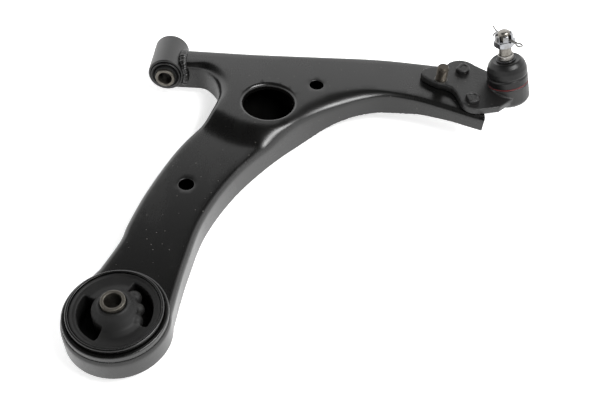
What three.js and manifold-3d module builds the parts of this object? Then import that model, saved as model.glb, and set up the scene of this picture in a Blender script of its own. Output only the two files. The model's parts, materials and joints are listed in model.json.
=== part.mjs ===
// Right-hand front lower control arm of a passenger car: two welded steel stampings, a front bush
// with a fore-and-aft bolt, a rear bush with an upright bolt, and a bolted-on ball joint.
// Millimetres. +X points outboard to the ball joint, +Y forward to the front bush, +Z up.
// The drawing's datum is the rear bush axis on the top face of the arm. The finished group is
// moved so that its origin is the centre of the underside of its box.
import * as THREE from "three";
import { mergeVertices } from "three/addons/utils/BufferGeometryUtils.js";
import Module from "manifold-3d";

const wasm = await Module();
wasm.setup();

// ---- driving dimensions ----
const GAP = 0.3; // clearance left between pieces that touch on the real arm
const SHEET = 3; // thickness of both stampings
const EDGE_BEND = 6; // size of the bend between the top face and the walls
const PRISM_DEPTH = 60; // depth of the raw prisms, before their undersides are trimmed

const EYE_WALL_R = 47; // outer radius of the stamping round the rear bush
const EYE_COLLAR = { outer: 43.8, inner: 40.3, top: -3, bottom: -31 };
const REAR_BUSH = { outer: 40, wall: 2.4, top: 1.5, bottom: -33 };
const REAR_SLEEVE = { outer: 10.25, bore: 7.2, top: 14, bottom: -42 };
const REAR_VOID = { inner: 19, outer: 31, halfAngle: 0.85, turn: 0.38 };

const TUBE = { x: -6.8, y: 335, z: -12.5, outer: 18.6, bore: 15.9, length: 48 };
const TUBE_TILT = THREE.MathUtils.degToRad(4); // the rear end of the front bush stands higher
const FRONT_SLEEVE = { outer: 10.25, bore: 7.2, overhang: 7 };

const BIG_HOLE = { x: 106.8, y: 266.2, r: 26.5, rimDepth: 7 };
const SMALL_HOLES = [
  { x: 155.1, y: 297.2, r: 7.4 },
  { x: 37.4, y: 150.4, r: 7.4 },
];

const LEG_DROP = 7; // how much lower the rear leg lies than the rest of the top face
const DROP_START_Y = 226; // front end of the slope down to the rear leg
const DROP_LENGTH = 37;
const LOWER_SHELL_END_X = 262; // the closing plate stops here, to leave the flange nuts free
const ARM_END_X = 326;

const FLANGE = { bottom: GAP, top: 7.8 };
const FLANGE_STUDS = { front: [309.6, 325.4], rear: [315.8, 278.8] };
const FLANGE_BOLT = [285.8, 309.2];
const STUD = { shank: 5, headR: 7.5, head: 5, nutAcross: 14, nutHeight: 9, tail: 3 };
const BOLT = { r: 6, rise: 17, headAcross: 17, headHeight: 8, tipChamfer: 1.5 };
const BEAD = { tube: 2.2, seam: 1.3, seamFromX: 150, seamFromY: 240 };

const BALL_JOINT_AT = new THREE.Vector3(355.4, 307.2, 12); // where the boot meets the housing
const BALL_JOINT_AXIS = new THREE.Vector3(-0.268, 0.19, 0.943).normalize();
const BALL = { r: 12.5, height: -5 };
const HOUSING = { r: 20.8, bottom: -22, neckR: 17.6, neckTop: 7, bore: 14.8, lip: 13.2 };
const NUT = { across: 19, bottom: 42.3, crown: 49, top: 55.5, slot: 3.8 };
const STUD_TOP = 58.5;
const THREAD_R = 6; // thread of the ball stud
const PIN = { height: 52.4, wire: 0.6, offset: 0.9, hole: 1.9, turn: -0.95, droop: 0.17 };

const ROUND = 36; // facets round a large circle
const SMALL_ROUND = 18;

// ---- finishes ----
function finish(color, roughness, metalness) {
  return { color, roughness, metalness };
}
const FINISH = {
  paint: finish(0x1d1e1f, 0.42, 0.2),
  weld: finish(0x262727, 0.55, 0.3),
  forging: finish(0x2a2b2c, 0.5, 0.3),
  rubber: finish(0x17181a, 0.8, 0),
  sleeve: finish(0x86837b, 0.45, 0.9),
  zinc: finish(0xc9ccd0, 0.3, 0.95),
  steel: finish(0xa9abad, 0.3, 0.95),
  seat: finish(0xd9d6c8, 0.6, 0),
  red: finish(0x8c2a30, 0.6, 0),
};

const arm = new THREE.Group();

function addPiece(name, geometry, look, parent = arm) {
  const mesh = new THREE.Mesh(geometry, new THREE.MeshStandardMaterial(look));
  mesh.name = name;
  parent.add(mesh);
  return mesh;
}

// ---- solids ----
function solidOf(geometry) {
  const bare = new THREE.BufferGeometry();
  bare.setAttribute("position", geometry.getAttribute("position").clone());
  bare.setIndex(geometry.index ? geometry.index.clone() : null);
  const merged = mergeVertices(bare, 1e-4);
  const mesh = new wasm.Mesh({
    numProp: 3,
    vertProperties: new Float32Array(merged.getAttribute("position").array),
    triVerts: new Uint32Array(merged.index.array),
  });
  return new wasm.Manifold(mesh);
}

function geometryOf(solid) {
  const mesh = solid.getMesh();
  const geometry = new THREE.BufferGeometry();
  geometry.setAttribute("position", new THREE.BufferAttribute(mesh.vertProperties, 3));
  geometry.setIndex(new THREE.BufferAttribute(mesh.triVerts, 1));
  geometry.computeVertexNormals();
  return geometry;
}

function cut(geometry, ...tools) {
  return geometryOf(tools.reduce((left, tool) => left.subtract(solidOf(tool)), solidOf(geometry)));
}

function join(...geometries) {
  return geometryOf(geometries.map(solidOf).reduce((whole, part) => whole.add(part)));
}

function common(a, b) {
  return geometryOf(solidOf(a).intersect(solidOf(b)));
}

// A solid of revolution about +Z from [radius, height] points, listed counter-clockwise with the
// radius to the right and the height up.
function turned(profile, facets = ROUND) {
  const points = [...profile, profile[0]].map(([r, h]) => new THREE.Vector2(r, h));
  return new THREE.LatheGeometry(points, facets).rotateX(Math.PI / 2);
}

function ring(inner, outer, bottom, top, facets = ROUND) {
  const profile = [
    [inner, bottom],
    [outer, bottom],
    [outer, top],
    [inner, top],
  ];
  return turned(profile, facets);
}

function disc(radius, bottom, top, facets = SMALL_ROUND) {
  const upright = new THREE.CylinderGeometry(radius, radius, top - bottom, facets).rotateX(Math.PI / 2);
  return upright.translate(0, 0, (top + bottom) / 2);
}

function discAt(x, y, radius, bottom, top, facets = SMALL_ROUND) {
  return disc(radius, bottom, top, facets).translate(x, y, 0);
}

function hexagon(across, bottom, top) {
  return disc(across / Math.sqrt(3), bottom, top, 6);
}

// A prism of the given plan between two heights.
function prism(points, bottom, top) {
  const shape = new THREE.Shape(points);
  const body = new THREE.ExtrudeGeometry(shape, { depth: top - bottom, bevelEnabled: false });
  return body.translate(0, 0, bottom);
}

// A prism of an X-Z side view, as wide as the whole arm.
function sideProfile(points) {
  const width = 600;
  const shape = new THREE.Shape(points);
  const body = new THREE.ExtrudeGeometry(shape, { depth: width, bevelEnabled: false });
  return body.rotateX(Math.PI / 2).translate(0, width - 100, 0);
}

function wire(points, radius, steps, sides = 8) {
  const section = new THREE.Shape().absarc(0, 0, radius, 0, 2 * Math.PI);
  const path = new THREE.CatmullRomCurve3(points);
  return new THREE.ExtrudeGeometry(section, { steps, curveSegments: sides, extrudePath: path });
}

// ---- the stampings ----
const FAR_EDGE = [
  [289, 342.7],
  [223, 347.5],
  [157, 345.5],
  [90, 343.4],
  [40, 343.6],
];
const CROTCH = [
  [33, 315.5],
  [42, 309],
  [49.5, 299],
  [53, 287],
  [54.5, 270],
];
const LEG_FRONT = [
  [49.1, 242],
  [24.5, 197.5],
  [4.2, 143],
  [-7, 101.4],
  [-11.5, 79],
  [-23.8, 48],
];
const NEAR_EDGE = [
  [45.8, 62],
  [54.9, 111],
  [77.2, 162.6],
  [112, 212],
  [150, 252.5],
  [188, 276.5],
  [222, 287.3],
  [254, 284.5],
  [285, 274.5],
];
const NECK_END_X = -3; // hidden in the front tube's saddle until it is cut
const EYE_START = THREE.MathUtils.degToRad(140);
const EYE_END = THREE.MathUtils.degToRad(378);

function vectors(pairs) {
  return pairs.map(([x, y]) => new THREE.Vector2(x, y));
}

function armPlan() {
  const nearEnd = new THREE.Vector2(ARM_END_X - 9, 262);
  const farEnd = new THREE.Vector2(ARM_END_X - 12, 341);
  const corner = (from, tip, to) => new THREE.QuadraticBezierCurve(from, new THREE.Vector2(...tip), to);
  const through = (pairs) => new THREE.SplineCurve(vectors(pairs));
  const eye = new THREE.EllipseCurve(0, 0, EYE_WALL_R, EYE_WALL_R, EYE_START, EYE_END);
  const stretches = [
    [corner(nearEnd, [ARM_END_X, 259], new THREE.Vector2(ARM_END_X, 268)), 3],
    [corner(new THREE.Vector2(ARM_END_X, 330), [ARM_END_X, 341], farEnd), 3],
    [through([[ARM_END_X - 12, 341], ...FAR_EDGE, [NECK_END_X, 343.8]]), 12],
    [through([[NECK_END_X, 315], [18, 316], ...CROTCH, ...LEG_FRONT]), 30],
    [eye, 20],
    [through([...NEAR_EDGE, [ARM_END_X - 9, 262]]), 22],
  ];
  return tidyLoop(stretches.flatMap(([curve, steps]) => curve.getPoints(steps)));
}

// Drops repeated and closing points.
function tidyLoop(points) {
  const apart = 0.5;
  const kept = points.filter((p, i) => i === 0 || p.distanceTo(points[i - 1]) > apart);
  if (kept[0].distanceTo(kept[kept.length - 1]) < apart) kept.pop();
  return kept;
}

// The counter-clockwise loop moved inwards by a distance.
function inset(points, distance) {
  const count = points.length;
  const moved = points.map((p, i) => {
    const before = points[(i + count - 1) % count];
    const after = points[(i + 1) % count];
    const a = new THREE.Vector2().subVectors(p, before).normalize();
    const b = new THREE.Vector2().subVectors(after, p).normalize();
    const normal = new THREE.Vector2(-a.y - b.y, a.x + b.x).normalize();
    const stretch = 1 / Math.max(0.5, normal.dot(new THREE.Vector2(-a.y, a.x)));
    return p.clone().addScaledVector(normal, distance * stretch);
  });
  return moved;
}

// A solid under a plan whose top edge is rounded, built from rings that step in as they rise.
function roundedPrism(points, top, bend, steps = 2) {
  const rings = [{ loop: points, z: top - PRISM_DEPTH }];
  for (let i = 0; i <= steps; i += 1) {
    const angle = (i / steps) * (Math.PI / 2);
    const loop = inset(points, bend * (1 - Math.cos(angle)));
    rings.push({ loop, z: top - bend + bend * Math.sin(angle) });
  }
  return stackedRings(rings);
}

// Closes a stack of equal-length rings with a floor and a lid.
function stackedRings(rings) {
  const count = rings[0].loop.length;
  const positions = [];
  rings.forEach(({ loop, z }) => loop.forEach((p) => positions.push(p.x, p.y, z)));
  const index = [];
  for (let k = 0; k + 1 < rings.length; k += 1) {
    for (let i = 0; i < count; i += 1) {
      const j = (i + 1) % count;
      const low = k * count;
      const high = low + count;
      index.push(low + i, low + j, high + j, low + i, high + j, high + i);
    }
  }
  const lid = (rings.length - 1) * count;
  THREE.ShapeUtils.triangulateShape(rings[0].loop, []).forEach(([a, b, c]) => {
    index.push(c, b, a, lid + a, lid + b, lid + c);
  });
  const geometry = new THREE.BufferGeometry();
  geometry.setAttribute("position", new THREE.Float32BufferAttribute(positions, 3));
  geometry.setIndex(index);
  return geometry;
}

// Lowers everything behind the slope by LEG_DROP, and leans the slope itself.
function dropLeg(geometry) {
  const reach = 500;
  const slope = LEG_DROP / DROP_LENGTH;
  const bands = [
    { from: DROP_START_Y, to: DROP_START_Y + reach, lean: 0, lift: 0 },
    { from: DROP_START_Y - DROP_LENGTH, to: DROP_START_Y, lean: slope, lift: -slope * DROP_START_Y },
    { from: -reach, to: DROP_START_Y - DROP_LENGTH, lean: 0, lift: -LEG_DROP },
  ];
  const moved = bands.map(({ from, to, lean, lift }) => {
    const band = new THREE.BoxGeometry(2 * reach, to - from, reach).translate(0, (from + to) / 2, 0);
    const shear = new THREE.Matrix4().set(1, 0, 0, 0, 0, 1, 0, 0, 0, lean, 1, lift, 0, 0, 0, 1);
    return common(geometry, band).applyMatrix4(shear);
  });
  return join(...moved);
}

// Height of the walls' lower edge along X.
const SKIRT = [
  [-60, -29.5],
  [44, -31.5],
  [66, -37],
  [146, -37],
  [166, -30],
  [186, -26],
  [236, -24.5],
  [270, -17.5],
  [300, -14],
  [340, -14],
];

function skirtAt(x) {
  const next = SKIRT.findIndex(([edge]) => edge >= x);
  const [x0, z0] = SKIRT[next - 1];
  const [x1, z1] = SKIRT[next];
  return THREE.MathUtils.mapLinear(x, x0, x1, z0, z1);
}

function aboveSkirt(offset) {
  const line = SKIRT.map(([x, z]) => [x, z + offset]);
  return sideProfile(vectors([...line, [340, 10], [-60, 10]]));
}

function skirtBand(low, high) {
  const under = SKIRT.map(([x, z]) => [x, z + low]);
  const over = SKIRT.map(([x, z]) => [x, z + high]).reverse();
  return sideProfile(vectors([...under, ...over]));
}

function inTubeFrame(geometry) {
  return geometry.rotateX(Math.PI / 2 - TUBE_TILT).translate(TUBE.x, TUBE.y, TUBE.z);
}

const PLAN = armPlan();
const saddleCut = inTubeFrame(disc(TUBE.outer + GAP, -TUBE.length, TUBE.length, ROUND));
const eyeCut = disc(EYE_COLLAR.outer + GAP, -PRISM_DEPTH, PRISM_DEPTH, ROUND);

function holes(extra) {
  const list = SMALL_HOLES.map(({ x, y, r }) => discAt(x, y, r, -20, 20));
  const studs = Object.values(FLANGE_STUDS).map(([x, y]) => discAt(x, y, STUD.shank + extra, -20, 20));
  return [...list, ...studs, discAt(...FLANGE_BOLT, BOLT.r + extra, -20, 20)];
}

// Pushes the outboard end of a hollow's plan out through the end of the arm, which has no wall.
function openEnd(points) {
  const past = 16;
  return points.map((p) => (p.x > ARM_END_X - past ? new THREE.Vector2(p.x + past, p.y) : p));
}

function upperShell() {
  const skin = dropLeg(roundedPrism(PLAN, 0, EDGE_BEND));
  const hollow = dropLeg(roundedPrism(openEnd(inset(PLAN, SHEET)), -SHEET, EDGE_BEND - SHEET));
  const shell = common(cut(skin, hollow), aboveSkirt(0));
  const rim = ring(BIG_HOLE.r, BIG_HOLE.r + SHEET, -BIG_HOLE.rimDepth, -SHEET / 2, ROUND);
  const rimmed = join(shell, rim.translate(BIG_HOLE.x, BIG_HOLE.y, 0));
  const bigHole = discAt(BIG_HOLE.x, BIG_HOLE.y, BIG_HOLE.r, -20, 20, ROUND);
  return cut(rimmed, bigHole, saddleCut, eyeCut, ...holes(GAP));
}

function lowerShell() {
  const plate = prism(inset(PLAN, SHEET + GAP), -PRISM_DEPTH, 0);
  const closed = common(plate, skirtBand(1, 1 + SHEET));
  const beyond = new THREE.BoxGeometry(200, 600, 200).translate(LOWER_SHELL_END_X + 100, 200, 0);
  return cut(closed, beyond, saddleCut, eyeCut);
}

addPiece("upper_shell", upperShell(), FINISH.paint);
addPiece("lower_shell", lowerShell(), FINISH.paint);

// ---- front bush ----
function frontBush() {
  const half = TUBE.length / 2;
  const sleeveHalf = half + FRONT_SLEEVE.overhang;
  const outerR = TUBE.bore - GAP;
  const innerR = outerR - 1.6;
  const lip = half + 1.6;
  const core = FRONT_SLEEVE.outer + GAP;
  const rubber = [
    [core, -half - 4],
    [core + 1.2, -half - 4],
    [innerR - GAP, -half + 1],
    [innerR - GAP, half - 1],
    [core + 1.2, half + 4],
    [core, half + 4],
  ];
  const pieces = {
    front_bush_tube: [ring(TUBE.bore, TUBE.outer, -half, half), FINISH.paint],
    front_bush_outer_sleeve: [ring(innerR, outerR, -lip, lip), FINISH.sleeve],
    front_bush_rubber: [turned(rubber), FINISH.rubber],
    front_bush_inner_sleeve: [
      ring(FRONT_SLEEVE.bore, FRONT_SLEEVE.outer, -sleeveHalf, sleeveHalf),
      FINISH.sleeve,
    ],
  };
  Object.entries(pieces).forEach(([name, [geometry, look]]) => {
    addPiece(name, inTubeFrame(geometry), look);
  });
}
frontBush();

// ---- rear bush ----
function rearRubber() {
  const outer = REAR_BUSH.outer - REAR_BUSH.wall - GAP;
  const core = REAR_SLEEVE.outer + GAP;
  const body = turned([
    [core, REAR_SLEEVE.bottom + 4],
    [core + 3, REAR_SLEEVE.bottom + 4],
    [outer - 9, REAR_BUSH.bottom + 5],
    [outer, REAR_BUSH.bottom + 2],
    [outer, REAR_BUSH.top - 3],
    [outer - 9, REAR_BUSH.top - 6],
    [core + 6, REAR_SLEEVE.top - 7],
    [core + 1.5, REAR_SLEEVE.top - 3],
    [core, REAR_SLEEVE.top - 3],
  ]);
  const voids = [REAR_VOID.turn, REAR_VOID.turn + Math.PI].map((turn) => {
    const kidney = new THREE.Shape();
    kidney.absarc(0, 0, REAR_VOID.outer, turn - REAR_VOID.halfAngle, turn + REAR_VOID.halfAngle, false);
    kidney.absarc(0, 0, REAR_VOID.inner, turn + REAR_VOID.halfAngle, turn - REAR_VOID.halfAngle, true);
    return prism(tidyLoop(kidney.getPoints(6)), -PRISM_DEPTH, PRISM_DEPTH);
  });
  return cut(body, ...voids);
}

function rearBush() {
  const inner = REAR_BUSH.outer - REAR_BUSH.wall;
  const collar = ring(EYE_COLLAR.inner, EYE_COLLAR.outer, EYE_COLLAR.bottom, EYE_COLLAR.top);
  addPiece("rear_eye_collar", collar, FINISH.paint);
  const can = ring(inner, REAR_BUSH.outer, REAR_BUSH.bottom, REAR_BUSH.top);
  addPiece("rear_bush_outer_sleeve", can, FINISH.paint);
  addPiece("rear_bush_rubber", rearRubber(), FINISH.rubber);
  const sleeve = ring(REAR_SLEEVE.bore, REAR_SLEEVE.outer, REAR_SLEEVE.bottom, REAR_SLEEVE.top);
  addPiece("rear_bush_inner_sleeve", sleeve, FINISH.sleeve);
}
rearBush();

// ---- ball joint ----
const jointGroup = new THREE.Group();
jointGroup.position.copy(BALL_JOINT_AT);
jointGroup.quaternion.setFromUnitVectors(new THREE.Vector3(0, 0, 1), BALL_JOINT_AXIS);
jointGroup.updateMatrix();
arm.add(jointGroup);

function flange() {
  const [bx, by] = FLANGE_BOLT;
  const [fx, fy] = FLANGE_STUDS.front;
  const [rx, ry] = FLANGE_STUDS.rear;
  const plan = new THREE.Shape();
  plan.moveTo(bx - 17.5, by + 15.5);
  plan.lineTo(bx - 20.5, by + 9.5);
  plan.lineTo(bx - 18.5, by + 3.5);
  plan.lineTo(bx - 11, by - 3);
  plan.lineTo(bx - 3, by - 7);
  plan.lineTo(bx + 5, by - 9);
  plan.lineTo(bx + 11, by - 12.5);
  plan.lineTo(bx + 15, by - 19.5);
  plan.absarc(rx + 4.5, ry + 2.2, 16.4, Math.PI * 1.02, Math.PI * 1.55, false);
  plan.lineTo(344, 270.5);
  plan.lineTo(358, 283.5);
  plan.lineTo(362, 322);
  plan.lineTo(340, 325.5);
  plan.absarc(fx, fy, 18, Math.PI * 0.22, Math.PI * 0.82, false);
  plan.lineTo(bx - 1, by + 21.5);
  plan.lineTo(bx - 10.5, by + 19.5);
  return prism(tidyLoop(plan.getPoints(4)), FLANGE.bottom, FLANGE.top);
}

function housing() {
  const { r, bottom, neckR, neckTop, bore, lip } = HOUSING;
  const outer = turned([
    [0, bottom],
    [r - 3, bottom],
    [r, bottom + 4],
    [r, 0],
    [neckR, 0],
    [neckR, neckTop],
    [0, neckTop],
  ]);
  const cavity = turned([
    [0, bottom - 5],
    [bore + 1.6, bottom - 5],
    [bore + 1.6, bottom + 3.6],
    [bore, bottom + 3.6],
    [bore, neckTop - 2],
    [lip, neckTop - 2],
    [lip + 0.6, neckTop + 5],
    [0, neckTop + 5],
  ]);
  const toArm = jointGroup.matrix;
  const whole = join(outer.applyMatrix4(toArm), flange());
  const bored = cut(whole, cavity.applyMatrix4(toArm), ...holes(GAP).slice(SMALL_HOLES.length));
  const neckRoom = ring(neckR + 0.01, r + 12, 0, neckTop + 20).applyMatrix4(toArm);
  return cut(bored, neckRoom).applyMatrix4(toArm.clone().invert());
}

// Half of a socket liner: a cylinder round a sphere, between two heights.
function seat(bottom, top, mouth) {
  const body = disc(HOUSING.bore - GAP, bottom, top, ROUND);
  const ball = new THREE.SphereGeometry(BALL.r + GAP, ROUND, SMALL_ROUND).translate(0, 0, BALL.height);
  return mouth ? cut(body, ball, mouth) : cut(body, ball);
}

function ballStud() {
  const steps = 8;
  const neckR = 6.2;
  const neckAngle = Math.acos(neckR / BALL.r);
  const profile = [];
  for (let i = 0; i <= steps; i += 1) {
    const angle = -Math.PI / 2 + (i / steps) * (Math.PI / 2 + neckAngle);
    profile.push([i === 0 ? 0 : BALL.r * Math.cos(angle), BALL.height + BALL.r * Math.sin(angle)]);
  }
  profile.push([neckR, 14], [6.8, 20], [6.8, 26], [THREAD_R, 41]);
  profile.push([THREAD_R, STUD_TOP - 1.5], [4.5, STUD_TOP], [0, STUD_TOP]);
  const crossHole = disc(PIN.hole, -20, 20, 10).rotateY(Math.PI / 2);
  return cut(turned(profile, SMALL_ROUND), inPinFrame(crossHole));
}

// The split pin lies across the stud, its eye a little lower than its legs.
function inPinFrame(geometry) {
  return geometry.rotateY(PIN.droop).rotateZ(PIN.turn).translate(0, 0, PIN.height);
}

function castleNut() {
  const slotLength = 30;
  const body = hexagon(NUT.across, NUT.bottom, NUT.crown);
  const crown = disc(NUT.across / 2 - 0.6, NUT.crown - 1, NUT.top, SMALL_ROUND);
  const bore = disc(THREAD_R + GAP, 0, 100);
  const slots = [0, 1, 2].map((i) => {
    const slot = new THREE.BoxGeometry(slotLength, NUT.slot, 10);
    return slot.translate(0, 0, NUT.crown + 5.4).rotateZ(PIN.turn + (i * Math.PI) / 3);
  });
  return cut(join(body, crown), bore, ...slots);
}

function dustBoot() {
  const wall = 2;
  const base = 1.3;
  const outside = [
    [20.8, base],
    [20.6, 8],
    [19.8, 9.6],
    [20.5, 12],
    [20.2, 17],
    [18.2, 22],
    [16, 25.2],
    [14.2, 26.6],
    [9, 26.3],
    [8.8, 27.6],
  ];
  const inside = [
    [7.2, 27.6],
    [7.2, 24],
    [13, 24.4],
    [18.2 - wall, 20.8],
    [20.2 - wall, 16.5],
    [20.5 - wall, 11],
    [HOUSING.neckR + GAP, 8],
    [HOUSING.neckR + GAP, base],
  ];
  return turned([...outside, ...inside]);
}

function cotterPin() {
  const d = PIN.offset;
  const points = [
    [-17, d, 3],
    [-12.5, d, 0.6],
    [-9, d, 0],
    [16, d, 0],
    [20, 2.1, 0],
    [23, 2.4, 0],
    [25.2, 0, 0],
    [23, -2.4, 0],
    [20, -2.1, 0],
    [16, -d, 0],
    [-9, -d, 0],
    [-14, -d, 0],
  ].map(([x, y, z]) => new THREE.Vector3(x, y, z));
  return inPinFrame(wire(points, PIN.wire, 60, 3));
}

function ballJoint() {
  const capTop = HOUSING.bottom + 3.3;
  const mouth = new THREE.CylinderGeometry(12.6, 10.9, 8, ROUND).rotateX(Math.PI / 2).translate(0, 0, 4);
  const pieces = {
    ball_joint_housing: [housing(), FINISH.forging],
    housing_cap: [disc(HOUSING.bore + 1.3, HOUSING.bottom + 0.3, capTop, ROUND), FINISH.forging],
    seat_spring_washer: [ring(6, HOUSING.bore - 0.6, capTop + GAP, capTop + GAP + 0.9), FINISH.steel],
    lower_ball_seat: [seat(capTop + 1.6, BALL.height - GAP / 2), FINISH.seat],
    upper_ball_seat: [seat(BALL.height + GAP / 2, HOUSING.neckTop - 2 - GAP, mouth), FINISH.seat],
    ball_stud: [ballStud(), FINISH.steel],
    dust_boot: [dustBoot(), FINISH.rubber],
    boot_base_ring: [ring(HOUSING.neckR + GAP, 20.9, GAP, 1), FINISH.red],
    boot_top_ring: [ring(9.1, 10, 26.6, 27.4), FINISH.steel],
    stud_collar: [ring(7.1, 7.9, 27.8, 32.6), FINISH.zinc],
    castle_nut: [castleNut(), FINISH.zinc],
    cotter_pin: [cotterPin(), FINISH.zinc],
  };
  Object.entries(pieces).forEach(([name, [geometry, look]]) => {
    addPiece(name, geometry, look, jointGroup);
  });
}
ballJoint();

// ---- flange fasteners ----
// A pressed-in stud: its D-shaped head stands on the flange and its thread goes down through the arm.
function flangeStud([x, y], flatTurn) {
  const seatHeight = FLANGE.top + GAP;
  const tip = -SHEET - GAP - STUD.nutHeight - STUD.tail;
  const head = disc(STUD.headR, seatHeight, seatHeight + STUD.head);
  const flat = new THREE.BoxGeometry(10, 40, 20).translate(-STUD.headR - 2.8, 0, seatHeight);
  const shank = disc(STUD.shank, tip, seatHeight + 1);
  return join(cut(head, flat.rotateZ(flatTurn)), shank).translate(x, y, 0);
}

function flangeNut([x, y]) {
  const top = -SHEET - GAP;
  const washer = disc(STUD.nutAcross / 2 + 0.5, top - 1.8, top);
  const body = join(hexagon(STUD.nutAcross, top - STUD.nutHeight, top - 1.5), washer);
  return cut(body, disc(STUD.shank + GAP, -40, 20)).translate(x, y, 0);
}

// The third fastener goes in from below, and its thread stands up out of the flange's ear.
function flangeBolt([x, y]) {
  const top = -SHEET - GAP;
  const tip = FLANGE.top + BOLT.rise;
  const head = hexagon(BOLT.headAcross, top - BOLT.headHeight, top - 1.5);
  const washer = disc(BOLT.headAcross / 2 + 1.6, top - 1.8, top);
  const shank = disc(BOLT.r, top - 2, tip - BOLT.tipChamfer);
  const end = new THREE.CylinderGeometry(BOLT.r - BOLT.tipChamfer, BOLT.r, BOLT.tipChamfer, SMALL_ROUND);
  const point = end.rotateX(Math.PI / 2).translate(0, 0, tip - BOLT.tipChamfer / 2);
  return join(head, washer, shank, point).translate(x, y, 0);
}

function flangeFasteners() {
  const flatTurns = { front: -0.6, rear: 0.3 };
  Object.entries(FLANGE_STUDS).forEach(([side, place]) => {
    addPiece(`flange_stud_${side}`, flangeStud(place, flatTurns[side]), FINISH.forging);
    addPiece(`flange_nut_${side}`, flangeNut(place), FINISH.zinc);
  });
  addPiece("flange_bolt", flangeBolt(FLANGE_BOLT), FINISH.steel);
}
flangeFasteners();

// ---- welds ----
// The bead that joins the neck to the front tube: up the rear wall, over the top, down the front.
function tubeWeld() {
  const reach = TUBE.outer + GAP + BEAD.tube;
  const route = [
    [-22, 313.5],
    [-12, 313.5],
    [-1.5, 316],
    [BEAD.tube, 322],
    [BEAD.tube, 336],
    [-1.5, 341.5],
    [-12, 344],
    [-22, 344],
  ];
  const points = route.map(([z, y]) => {
    const aboveAxis = z - TUBE.z;
    return new THREE.Vector3(TUBE.x + Math.sqrt(reach * reach - aboveAxis * aboveAxis), y, z);
  });
  const sheetRoom = roundedPrism(inset(PLAN, -GAP), GAP, EDGE_BEND);
  const tubeRoom = inTubeFrame(disc(TUBE.outer + GAP, -TUBE.length, TUBE.length, ROUND));
  return cut(wire(points, BEAD.tube, 28, 4), sheetRoom, tubeRoom);
}

// The bead under the wall's lower edge, where the two stampings meet.
function seamWeld() {
  const edge = inset(PLAN, SHEET).filter((p) => p.y < 300 && p.y > BEAD.seamFromY);
  const along = edge.filter((p) => p.x > BEAD.seamFromX && p.x < LOWER_SHELL_END_X);
  const drop = GAP + BEAD.seam;
  const points = along.map((p) => new THREE.Vector3(p.x, p.y, skirtAt(p.x) - drop));
  return wire(points, BEAD.seam, 3 * points.length, 3);
}

addPiece("front_tube_weld", tubeWeld(), FINISH.weld);
addPiece("edge_seam_weld", seamWeld(), FINISH.weld);

// ---- origin ----
const box = new THREE.Box3().setFromObject(arm, true);
const middle = box.getCenter(new THREE.Vector3());
arm.position.set(-middle.x, -middle.y, -box.min.z);

export default arm;
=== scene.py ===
"""Fine meshes and finishes for the front lower control arm of a passenger car.

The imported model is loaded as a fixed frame. Every sub-assembly is drawn in millimetres on its own
axes, and its axes are placed from the frame's boxes and joints. The arm's own drawing has its datum
on the rear bush axis, at the height of the arm's top face, with X outboard, Y forward and Z up.
"""
import json
import logging
import math
from dataclasses import dataclass
from enum import Enum
from typing import Callable, Iterable, Optional, Sequence, Union

import bmesh
import bpy
import numpy as np
from mathutils import Matrix, Vector
from mathutils.geometry import delaunay_2d_cdt


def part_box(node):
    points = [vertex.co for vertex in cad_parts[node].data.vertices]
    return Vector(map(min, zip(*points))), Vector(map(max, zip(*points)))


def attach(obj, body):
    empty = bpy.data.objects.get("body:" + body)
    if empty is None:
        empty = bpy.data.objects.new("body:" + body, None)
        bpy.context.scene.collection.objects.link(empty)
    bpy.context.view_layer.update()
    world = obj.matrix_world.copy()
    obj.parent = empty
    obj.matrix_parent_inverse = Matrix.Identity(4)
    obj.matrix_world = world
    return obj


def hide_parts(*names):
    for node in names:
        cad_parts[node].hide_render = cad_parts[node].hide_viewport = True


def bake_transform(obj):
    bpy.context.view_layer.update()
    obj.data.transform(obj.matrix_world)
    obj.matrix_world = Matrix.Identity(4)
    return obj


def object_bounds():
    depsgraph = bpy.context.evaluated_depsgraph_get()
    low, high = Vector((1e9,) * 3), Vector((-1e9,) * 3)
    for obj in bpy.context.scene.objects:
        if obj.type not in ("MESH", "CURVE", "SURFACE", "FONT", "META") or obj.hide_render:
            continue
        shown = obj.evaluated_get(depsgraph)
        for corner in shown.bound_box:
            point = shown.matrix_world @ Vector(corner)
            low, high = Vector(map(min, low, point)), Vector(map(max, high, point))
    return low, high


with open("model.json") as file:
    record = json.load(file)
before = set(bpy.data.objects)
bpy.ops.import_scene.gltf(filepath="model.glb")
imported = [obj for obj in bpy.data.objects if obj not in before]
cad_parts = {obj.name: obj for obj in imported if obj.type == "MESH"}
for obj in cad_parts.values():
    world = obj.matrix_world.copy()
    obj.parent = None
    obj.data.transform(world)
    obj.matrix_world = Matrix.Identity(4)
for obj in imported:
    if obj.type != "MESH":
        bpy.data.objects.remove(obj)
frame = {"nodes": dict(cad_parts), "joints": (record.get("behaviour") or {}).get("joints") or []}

CAD_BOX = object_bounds()
LOG = logging.getLogger("control_arm")
MM = 0.001

Corner = tuple[float, float, float]
Pair = tuple[float, float]
Shape = Callable[[float, float, float], float]


class Body(Enum):
    """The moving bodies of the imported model."""

    ARM = "arm"
    FRONT_SLEEVE = "front_sleeve"
    REAR_SLEEVE = "rear_sleeve"
    STUD_SWING = "stud_swing"
    STUD = "stud"


class Slot(Enum):
    """The record's material slots."""

    PAINT = "black_paint"
    WELD = "painted_weld"
    FORGING = "black_forging"
    BUSH_RUBBER = "bush_rubber"
    BOOT_RUBBER = "boot_rubber"
    SLEEVE = "sleeve_steel"
    STUD = "stud_steel"
    SPRING = "spring_steel"
    ZINC = "zinc_plate"
    DARK_ZINC = "dark_zinc"
    SEAT = "seat_plastic"
    RED = "red_ring"


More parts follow.
